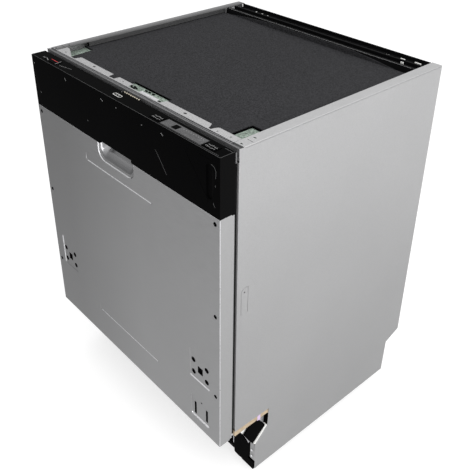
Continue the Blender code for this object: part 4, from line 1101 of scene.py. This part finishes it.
def dispenser():
    """Detergent dispenser: its body, sliding lid with ribs, trims, and the rinse aid cap in a ring."""
    refined("dispenser_body", "door", "grey_plastic", 0.0012, 3)
    refined("dispenser_lid", "dispenser_lid", "grey_plastic", 0.0008, 3)
    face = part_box("dispenser_body")[1].y
    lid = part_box("dispenser_lid")[1].y
    cap_low, cap_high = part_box("rinse_aid_cap")
    middle = middle_of("rinse_aid_cap")
    centre = (middle.x, 0, middle.z)
    trim = Shape()
    bead(trim, "Y", 0.012, 0.066, 0.437, 0.49, face - 0.0002, face + 0.001)
    bead(trim, "Y", -0.013, 0.006, 0.478, 0.532, face - 0.0002, face + 0.0016)
    piece("dispenser_trim", trim, "door", "grey_plastic", angle=50.0)
    base, top = face - 0.0005, face + 0.0008
    profile = [(0.02, base), (0.0235, base), (0.023, top), (0.0205, top)]
    ring = Shape().turned(profile, centre, "Y", 48, closed=True)
    piece("dispenser_ring", ring, "door", "white_plastic")
    ribs = Shape()
    for k in range(7):
        z = 0.455 + 0.016 * k
        ribs.box((-0.077, lid - 0.0003, z), (-0.03, lid + 0.0007, z + 0.004))
    piece("dispenser_lid_ribs", ribs, "dispenser_lid", "grey_plastic", bevel=0.0003)
    radius = (cap_high.x - cap_low.x) / 2
    knob = Shape()
    for x, z in circle(28, radius - 0.0008, (middle.x, middle.z)):
        knob.turned([(0.0009, -0.2293), (0.0009, -0.2274)], (x, 0, z), "Y", 6)
    crown = [
        (0.0135, -0.243), (0.0135, -0.2293), (radius - 0.0006, -0.2293), (radius - 0.0006, -0.2279),
        (radius - 0.0016, -0.2275), (0.0, -0.2275),
    ]
    knob.turned(crown, centre, "Y", 56)
    grip = rounded(cap_low.x + 0.0045, cap_high.x - 0.0045, middle.z - 0.0026, middle.z + 0.0026, 0.002)
    knob.plate(grip, "Y", -0.228, cap_high.y)
    piece("rinse_cap_knob", knob, "rinse_aid_cap", "grey_plastic", ("rinse_aid_cap",), 0.0003)


# ---------------------------------------------------------------- racks


def wire_frame(shape, low, high, wire, pitch, depth=0.006):
    """Round wires of a basket: U-shaped wires both ways, a top rim and a middle loop."""
    r = wire / 2
    x_low, x_high, y_low, y_high = low.x + r, high.x - r, low.y + r, high.y - r
    floor, rim, raised = low.z + r, high.z - r, low.z + r + wire * 0.7
    for x in spaced(x_low, x_high, round((x_high - x_low) / pitch) + 1)[1:-1]:
        points = [(x, y_low, rim), (x, y_low + depth, floor), (x, y_high - depth, floor), (x, y_high, rim)]
        shape.tube(bent(points, 0.008), r * 0.75)
    for y in spaced(y_low, y_high, round((y_high - y_low) / pitch) + 1)[1:-1]:
        points = [(x_low, y, rim), (x_low + depth, y, raised), (x_high - depth, y, raised), (x_high, y, rim)]
        shape.tube(bent(points, 0.008), r * 0.75)
    for z, inset in ((rim, 0.0), (floor + (rim - floor) * 0.45, depth * 0.6), (floor, depth)):
        loop = rounded(x_low + inset, x_high - inset, y_low + inset, y_high - inset, 0.018, 5)
        shape.tube([(x, y, z) for x, y in loop], r, 8, closed=True)


def tines(shape, x_places, y_places, floor, height, radius=0.0014):
    """Rows of upright wires that lean a little to the rear."""
    for x in x_places:
        for y in y_places:
            path = [(x, y, floor), (x, y + 0.002, floor + height * 0.5), (x, y + 0.008, floor + height)]
            shape.tube(bent(path, 0.01), radius, 8)


def upper_rack():
    """Upper wire rack with its runners and rollers."""
    low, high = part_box("upper_rack")
    low.x, high.x = -0.246, 0.246
    basket = Shape()
    wire_frame(basket, low, high, 0.0045, 0.04)
    tines(basket, [-0.205 + 0.0315 * k for k in range(7)], (-0.11, 0.07), low.z + 0.002, 0.062)
    tines(basket, [0.05 + 0.0315 * k for k in range(6)], (-0.02, 0.14), low.z + 0.002, 0.05)
    piece("upper_basket", basket, "upper_rack", "nylon", ("upper_rack",), angle=60.0)
    runners, rollers = Shape(), Shape()
    wheel = [(0.0066, -0.0012), (0.007, -0.0006), (0.007, 0.0006), (0.0066, 0.0012)]
    for side in (-1, 1):
        runners.plate(rounded(-0.17, 0.17, 0.5545, 0.5655, 0.004), "X", *sorted((side * 0.252, side * 0.261)))
        for y in (-0.12, 0.12):
            hanger = pill(y, 0.56, 0.02, 0.02, 0.006)
            runners.plate(hanger, "X", *sorted((side * 0.2445, side * 0.252)))
        for y in (-0.15, -0.06, 0.06, 0.15):
            rollers.turned(wheel, (side * 0.262, y, 0.56), "X", 32)
    piece("upper_rack_runners", runners, "upper_rack", "grey_plastic", bevel=0.0008)
    piece("upper_rack_rollers", rollers, "upper_rack", "white_plastic")


def lower_rack():
    """Lower wire rack with its legs, and its four wheels with tyres and spokes."""
    low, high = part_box("lower_rack")
    low.x, high.x, low.z = -0.235, 0.235, 0.222
    basket = Shape()
    wire_frame(basket, low, high, 0.0045, 0.042, 0.004)
    tines(basket, [-0.2 + 0.028 * k for k in range(10)], (-0.135, -0.02, 0.095), low.z + 0.002, 0.078)
    tines(basket, [0.11 + 0.03 * k for k in range(4)], (0.02, 0.14), low.z + 0.002, 0.065)
    piece("lower_basket", basket, "lower_rack", "nylon", ("lower_rack",), angle=60.0)
    legs = Shape()
    for corner in ("front_left", "front_right", "rear_left", "rear_right"):
        body = f"rack_wheel_{corner}"
        wheel_low, wheel_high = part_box(body)
        centre = middle_of(body)
        side = 1 if centre.x > 0 else -1
        radius, half = (wheel_high.z - wheel_low.z) / 2, (wheel_high.x - wheel_low.x) / 2
        foot, head = centre.z - 0.007, low.z + 0.01
        leg = [
            (centre.y - 0.009, foot), (centre.y + 0.009, foot),
            (centre.y + 0.013, head), (centre.y - 0.013, head),
        ]
        legs.plate(leg, "X", *sorted((side * 0.2335, side * 0.2365)))
        axle = [(0.003, x) for x in sorted((side * 0.236, side * 0.249))]
        legs.turned(axle, (0, centre.y, centre.z), "X", 20)
        tyre = (
            (0.0037, -half), (radius - 0.0015, -half), (radius, -half + 0.0012), (radius, half - 0.0012),
            (radius - 0.0015, half), (radius - 0.0035, half), (radius - 0.0045, half - 0.0015),
            (0.0085, half - 0.0015), (0.0075, half), (0.0037, half),
        )
        wheel = Shape().turned([(r, along * side) for r, along in tyre], centre, "X", 48, closed=True)
        piece(f"wheel_{corner}_tyre", wheel, body, "grey_plastic", (body,))
        outer, wide = radius - 0.004, 0.0011
        spoke = ((0.008, wide), (outer, wide), (outer, -wide), (0.008, -wide))
        faces = sorted((centre.x + side * (half - 0.002), centre.x + side * (half - 0.0004)))
        spokes = Shape()
        for k in range(6):
            spokes.plate(swung(spoke, 2 * math.pi * k / 6, (centre.y, centre.z)), "X", *faces)
        piece(f"wheel_{corner}_spokes", spokes, body, "grey_plastic", bevel=0.0002)
    piece("lower_rack_legs", legs, "lower_rack", "grey_plastic", bevel=0.0005)


def cutlery():
    """Cutlery basket of thin bars with a partition, a floor grid and a carrying handle."""
    low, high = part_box("cutlery_basket")
    middle = middle_of("cutlery_basket")
    wall, half, bars = 0.002, 0.0012, Shape()
    top = high.z - 0.003
    levels = [low.z + 0.004 + 0.03 * k for k in range(4)] + [high.z - 0.01]
    for y in (low.y, high.y - wall):
        for x in spaced(low.x, high.x - wall, 14):
            bars.box((x, y, low.z), (x + wall, y + wall, top))
        for z in levels:
            bars.box((low.x, y, z - half), (high.x, y + wall, z + half))
    for x in (low.x, middle.x - wall / 2, high.x - wall):
        for y in spaced(low.y, high.y - wall, 10):
            bars.box((x, y, low.z), (x + wall, y + wall, top))
        for z in levels:
            bars.box((x, low.y, z - half), (x + wall, high.y, z + half))
    for x in spaced(low.x, high.x - wall, 14):
        bars.box((x, low.y, low.z), (x + wall, high.y, low.z + 0.0016))
    for y in spaced(low.y, high.y - wall, 8):
        bars.box((low.x, y, low.z + 0.0002), (high.x, y + wall, low.z + 0.0018))
    piece("cutlery_bars", bars, "lower_rack", "grey_plastic", ("cutlery_basket",))
    inset, foot = 0.0035, high.z - 0.006
    outer = rounded(low.x, high.x, low.y, high.y, 0.004)
    inner = rounded(low.x + inset, high.x - inset, low.y + inset, high.y - inset, 0.002)
    levels = ((outer, foot), (outer, high.z), (inner, high.z), (inner, foot))
    rim = Shape().loft([[(x, y, z) for x, y in line] for line, z in levels], closed=True)
    handle = [
        (low.x + 0.002, middle.y, high.z - 0.004), (low.x + 0.014, middle.y, high.z + 0.02),
        (high.x - 0.014, middle.y, high.z + 0.02), (high.x - 0.002, middle.y, high.z - 0.004),
    ]
    rim.tube(bent(handle, 0.012), 0.0032)
    piece("cutlery_rim", rim, "lower_rack", "grey_plastic", angle=40.0)


# ---------------------------------------------------------------- water circuit


def spray_arms():
    """Spray arms with raised jets, a spine and a hub."""
    crown = [(0.0042, 0.0), (0.0036, 0.0014), (0.0022, 0.0016), (0.0018, 0.0006), (0.0, 0.0006)]
    hub = [(0.0235, 0.0), (0.0235, 0.005), (0.02, 0.0066), (0.011, 0.0066), (0.01, 0.005), (0.0, 0.005)]
    for name in ("upper_spray_arm", "lower_spray_arm"):
        low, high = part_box(name)
        refined(name, name, "grey_plastic", 0.0022, 4)
        reach, top = high.x, (low.z + high.z) / 2 + 0.0052
        jets = Shape()
        for side in (-1, 1):
            for k, share in enumerate((0.3, 0.46, 0.62, 0.77, 0.91)):
                y = (0.006 if k % 2 else -0.005) * side
                jets.turned(crown, (side * reach * share, y, top), "Z", 20)
            near, far = side * 0.03, side * reach * 0.95
            spine = [(near, -0.001), (far, -0.001), (far, 0.001), (near, 0.001)]
            jets.plate(spine, "Z", top - 0.001, top + 0.0007)
        jets.turned(hub, (0, 0, high.z - 0.0066), "Z", 40)
        piece(f"{name}_jets", jets, name, "grey_plastic", bevel=0.0002)


def filters():
    """Fine filter plate with three rings of slots, and the filter cup with its upright ribs."""
    low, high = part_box("filter_plate")
    middle = middle_of("filter_plate")
    centre = (middle.x, middle.y, 0)
    length, half = 0.007, 0.0012
    slots = Shape()
    for row, count in ((0.037, 30), (0.047, 38), (0.057, 46)):
        corners = ((row, -half), (row + length, -half), (row + length, half), (row, half))
        for k in range(count):
            outline = swung(corners, 2 * math.pi * (k + 0.5) / count, centre)
            slots.plate(outline, "Z", low.z - 0.003, high.z + 0.003)
    ring = [(0.031, low.z), (0.068, low.z), (0.068, high.z - 0.0003), (0.0674, high.z), (0.031, high.z)]
    plate = Shape().turned(ring, centre, "Z", 64, closed=True)
    piece("fine_filter", plate, "cabinet", "stainless", ("filter_plate",), cuts=(slots,))
    refined("filter_cup", "filter_cup", "grey_plastic")
    ribs = Shape()
    for x, y in circle(24, 0.0295, centre):
        ribs.turned([(0.0012, 0.1), (0.0012, 0.167)], (x, y, 0), "Z", 6)
    piece("filter_ribs", ribs, "filter_cup", "grey_plastic")


def salt_filler():
    """Screw cap of the salt filler, with a knurled edge and a grip."""
    low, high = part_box("salt_cap")
    middle = middle_of("salt_cap")
    profile = ((0.034, 0.0), (0.034, 0.01), (0.0325, 0.0125), (0.029, 0.014), (0.0, 0.014))
    cap = Shape().turned([(r, low.z + up) for r, up in profile], (middle.x, middle.y, 0), "Z", 56)
    for x, y in circle(36, 0.0335, middle):
        cap.turned([(0.001, low.z), (0.001, low.z + 0.0095)], (x, y, 0), "Z", 6)
    cap.plate(pill(middle.x, middle.y, 0.026, 0.004, 0.003), "Z", low.z + 0.012, high.z)
    piece("salt_cap_knob", cap, "salt_cap", "grey_plastic", ("salt_cap",), 0.0004)


def water_parts():
    """Sump, pumps, softener, valve, inlet and riser, with the ceiling sprinkler, clips, thread and nut."""
    for name, finish, bevel in (
        ("sump", "grey_plastic", 0.0008), ("circulation_pump", "grey_plastic", 0.001),
        ("drain_pump", "black_plastic", 0.0008), ("water_softener", "white_plastic", 0.003),
        ("inlet_valve", "white_plastic", 0.001), ("mains_inlet", "black_plastic", 0.001),
        ("spray_riser", "grey_plastic", 0.0016), ("base_tray", "black_plastic", 0.0008),
    ):
        refined(name, "cabinet", finish, bevel, 3)
    low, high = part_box("ceiling_sprinkler")
    profile = [(0.022, low.z), (0.03, low.z + 0.005), (0.03, low.z + 0.009), (0.01, high.z), (0.0, high.z)]
    rose = Shape().turned(profile, (0, 0, 0), "Z", 48)
    holes = Shape()
    for x, y in circle(12, 0.015):
        holes.turned([(0.0013, low.z - 0.002), (0.0013, low.z + 0.004)], (x, y, 0), "Z", 10)
    piece("sprinkler_rose", rose, "cabinet", "grey_plastic", ("ceiling_sprinkler",), 0.0005, cuts=(holes,))
    clips = Shape()
    for z in (0.25, 0.38, 0.62, 0.72):
        clips.box((-0.0145, 0.254, z - 0.006), (0.0145, 0.263, z + 0.006))
    piece("riser_clips", clips, "cabinet", "grey_plastic", bevel=0.0008)
    root, crest = 0.012, 0.0131
    profile = [(0.0098, 0.257)]
    for k in range(9):
        y = 0.26 + 0.0026 * k
        profile += [(root, y), (crest, y + 0.0008), (crest, y + 0.0012), (root, y + 0.002)]
    thread = Shape().turned(profile + [(0.0098, 0.2835)], (-0.2, 0, 0.085), "Y", 40)
    piece("inlet_thread", thread, "cabinet", "white_plastic")
    profile = [(0.0125, 0.256), (0.0125, 0.2625), (0.0118, 0.2635), (0.0, 0.2635)]
    nut = Shape().turned(profile, (0.195, 0, 0.08), "Y", 6)
    piece("gland_nut", nut, "cabinet", "black_plastic", bevel=0.0004)


# ---------------------------------------------------------------- back, base and mechanics


def back_and_base():
    """Back panel with beads and screws, and the ribs of the base tray."""
    refined("back_panel", "cabinet", "galvanised", 0.0003)
    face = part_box("back_panel")[1].y
    beads, screws = Shape(), Shape()
    spans = [(x - 0.02, x + 0.02, 0.2, 0.56) for x in (-0.215, -0.075, 0.075, 0.215)]
    for span in (*spans, (-0.25, 0.25, 0.62, 0.66), (-0.25, 0.25, 0.7, 0.735)):
        bead(beads, "Y", *span, face - 0.0001, face + 0.001)
    piece("back_beads", beads, "cabinet", "galvanised", angle=50.0)
    for side in (-1, 1):
        for z in (0.15, 0.3, 0.46, 0.62, 0.77):
            screw(screws, (side * 0.262, face, z), "Y", 1, 0.0016)
    piece("back_screws", screws, "cabinet", "bright_zinc_and_highlight")
    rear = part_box("base_tray")[1].y
    ribs = Shape()
    for x in spaced(-0.25, 0.25, 17):
        if abs(x + 0.2) > 0.028 and abs(x - 0.195) > 0.032:
            ribs.box((x - 0.001, rear - 0.0003, 0.026), (x + 0.001, rear + 0.004, 0.112))
    ribs.box((-0.258, rear - 0.0003, 0.108), (0.258, rear + 0.004, 0.111))
    piece("base_ribs", ribs, "cabinet", "black_plastic", bevel=0.0003)
    side_ribs = Shape()
    for k in range(8):
        y = -0.165 + 0.055 * k
        side_ribs.pair(0.2617, 0.2655, (y - 0.001, y + 0.001), (0.026, 0.112))
    piece("base_side_ribs", side_ribs, "cabinet", "black_plastic", bevel=0.0003)


def feet():
    """Screw feet with knurled pads, and the shaft that drives the rear one."""
    pad = [(0.0192, 0.0), (0.02, 0.001), (0.02, 0.007), (0.019, 0.0082), (0.014, 0.012), (0.005, 0.0125)]
    root, crest, stem = 0.0042, 0.005, []
    for k in range(26):
        z = 0.013 + 0.0026 * k
        stem += [(root, z), (crest, z + 0.0009), (crest, z + 0.0013), (root, z + 0.0022)]
    for name in ("front_foot_left", "front_foot_right", "rear_foot"):
        middle = middle_of(name)
        profile = pad + stem + [(0.004, 0.08), (0.0, 0.08)]
        foot = Shape().turned(profile, (middle.x, middle.y, 0), "Z", 32)
        for x, y in circle(16, 0.0186, middle):
            foot.turned([(0.0016, 0.0012), (0.0016, 0.007)], (x, y, 0), "Z", 6)
        piece(f"{name}_turned", foot, name, "grey_plastic", (name,))
    refined("rear_foot_shaft", "rear_foot_shaft", "spring")


def springs_and_rails():
    """Door springs with their hooks, the hinge arms, and the rack rails with their stops."""
    wire, steps, turns = 0.001, 16, 13
    for word, side in SIDES:
        spring = f"door_spring_{word}"
        low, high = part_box(spring)
        middle = middle_of(spring)
        reach = (high.x - low.x) / 2 - 0.0011
        y_places = spaced(low.y + 0.012, high.y - 0.012, turns * steps + 1)
        path = []
        for k, y in enumerate(y_places):
            turn = 2 * math.pi * k / steps
            path.append((middle.x + reach * math.cos(turn), y, middle.z + reach * math.sin(turn)))
        coil = Shape().tube(path, wire)
        for y, sign in ((low.y + 0.01, -1), (high.y - 0.01, 1)):
            hook = []
            for k in range(13):
                turn = math.pi * (k / 12 * 1.5)
                x = middle.x + reach * math.cos(turn) * (1 - k / 13)
                hook.append((x, y + sign * 0.009 * math.sin(turn * 0.6), middle.z))
            coil.tube(hook, wire)
        piece(f"{spring}_coil", coil, "cabinet", "spring", (spring,), angle=60.0)
        refined(f"hinge_arm_{word}", "door", "bright_zinc_and_highlight", 0.0003)
        refined(f"rack_rail_{word}", "cabinet", "stainless")
        stops = Shape()
        a, b = sorted((side * 0.254, side * 0.2645))
        for y in (-0.218, 0.205):
            stops.box((a, y - 0.004, 0.549), (b, y + 0.004, 0.571))
        piece(f"rail_stops_{word}", stops, "cabinet", "grey_plastic", bevel=0.001)


def control_parts():
    """Control board with a row of chips and one tall component."""
    refined("control_board", "door", "board", 0.0002)
    low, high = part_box("control_board")
    base = high.z - 0.0001
    chips = Shape()
    for k in range(9):
        x, length = low.x + 0.012 + 0.021 * k, 0.01 - 0.0006 * k
        chips.box((x, low.y + 0.006, base), (x + length, low.y + 0.014, high.z + 0.0022))
    chips.box((low.x + 0.15, low.y + 0.015, base), (low.x + 0.175, low.y + 0.023, high.z + 0.005))
    piece("board_chips", chips, "door", "black_plastic", bevel=0.0003)


# ---------------------------------------------------------------- assembly

make_camera()
make_studio()
side_skins()
front_tie()
rear_tie()
top_layers()
toe_kick()
door_skin()
handle_bowl()
fascia_cover()
fascia_edge_highlights()
fascia_print()
latch_and_gap()
tub_shell()
door_seal()
inner_skin()
dispenser()
upper_rack()
lower_rack()
cutlery()
spray_arms()
filters()
salt_filler()
water_parts()
back_and_base()
feet()
springs_and_rails()
control_parts()
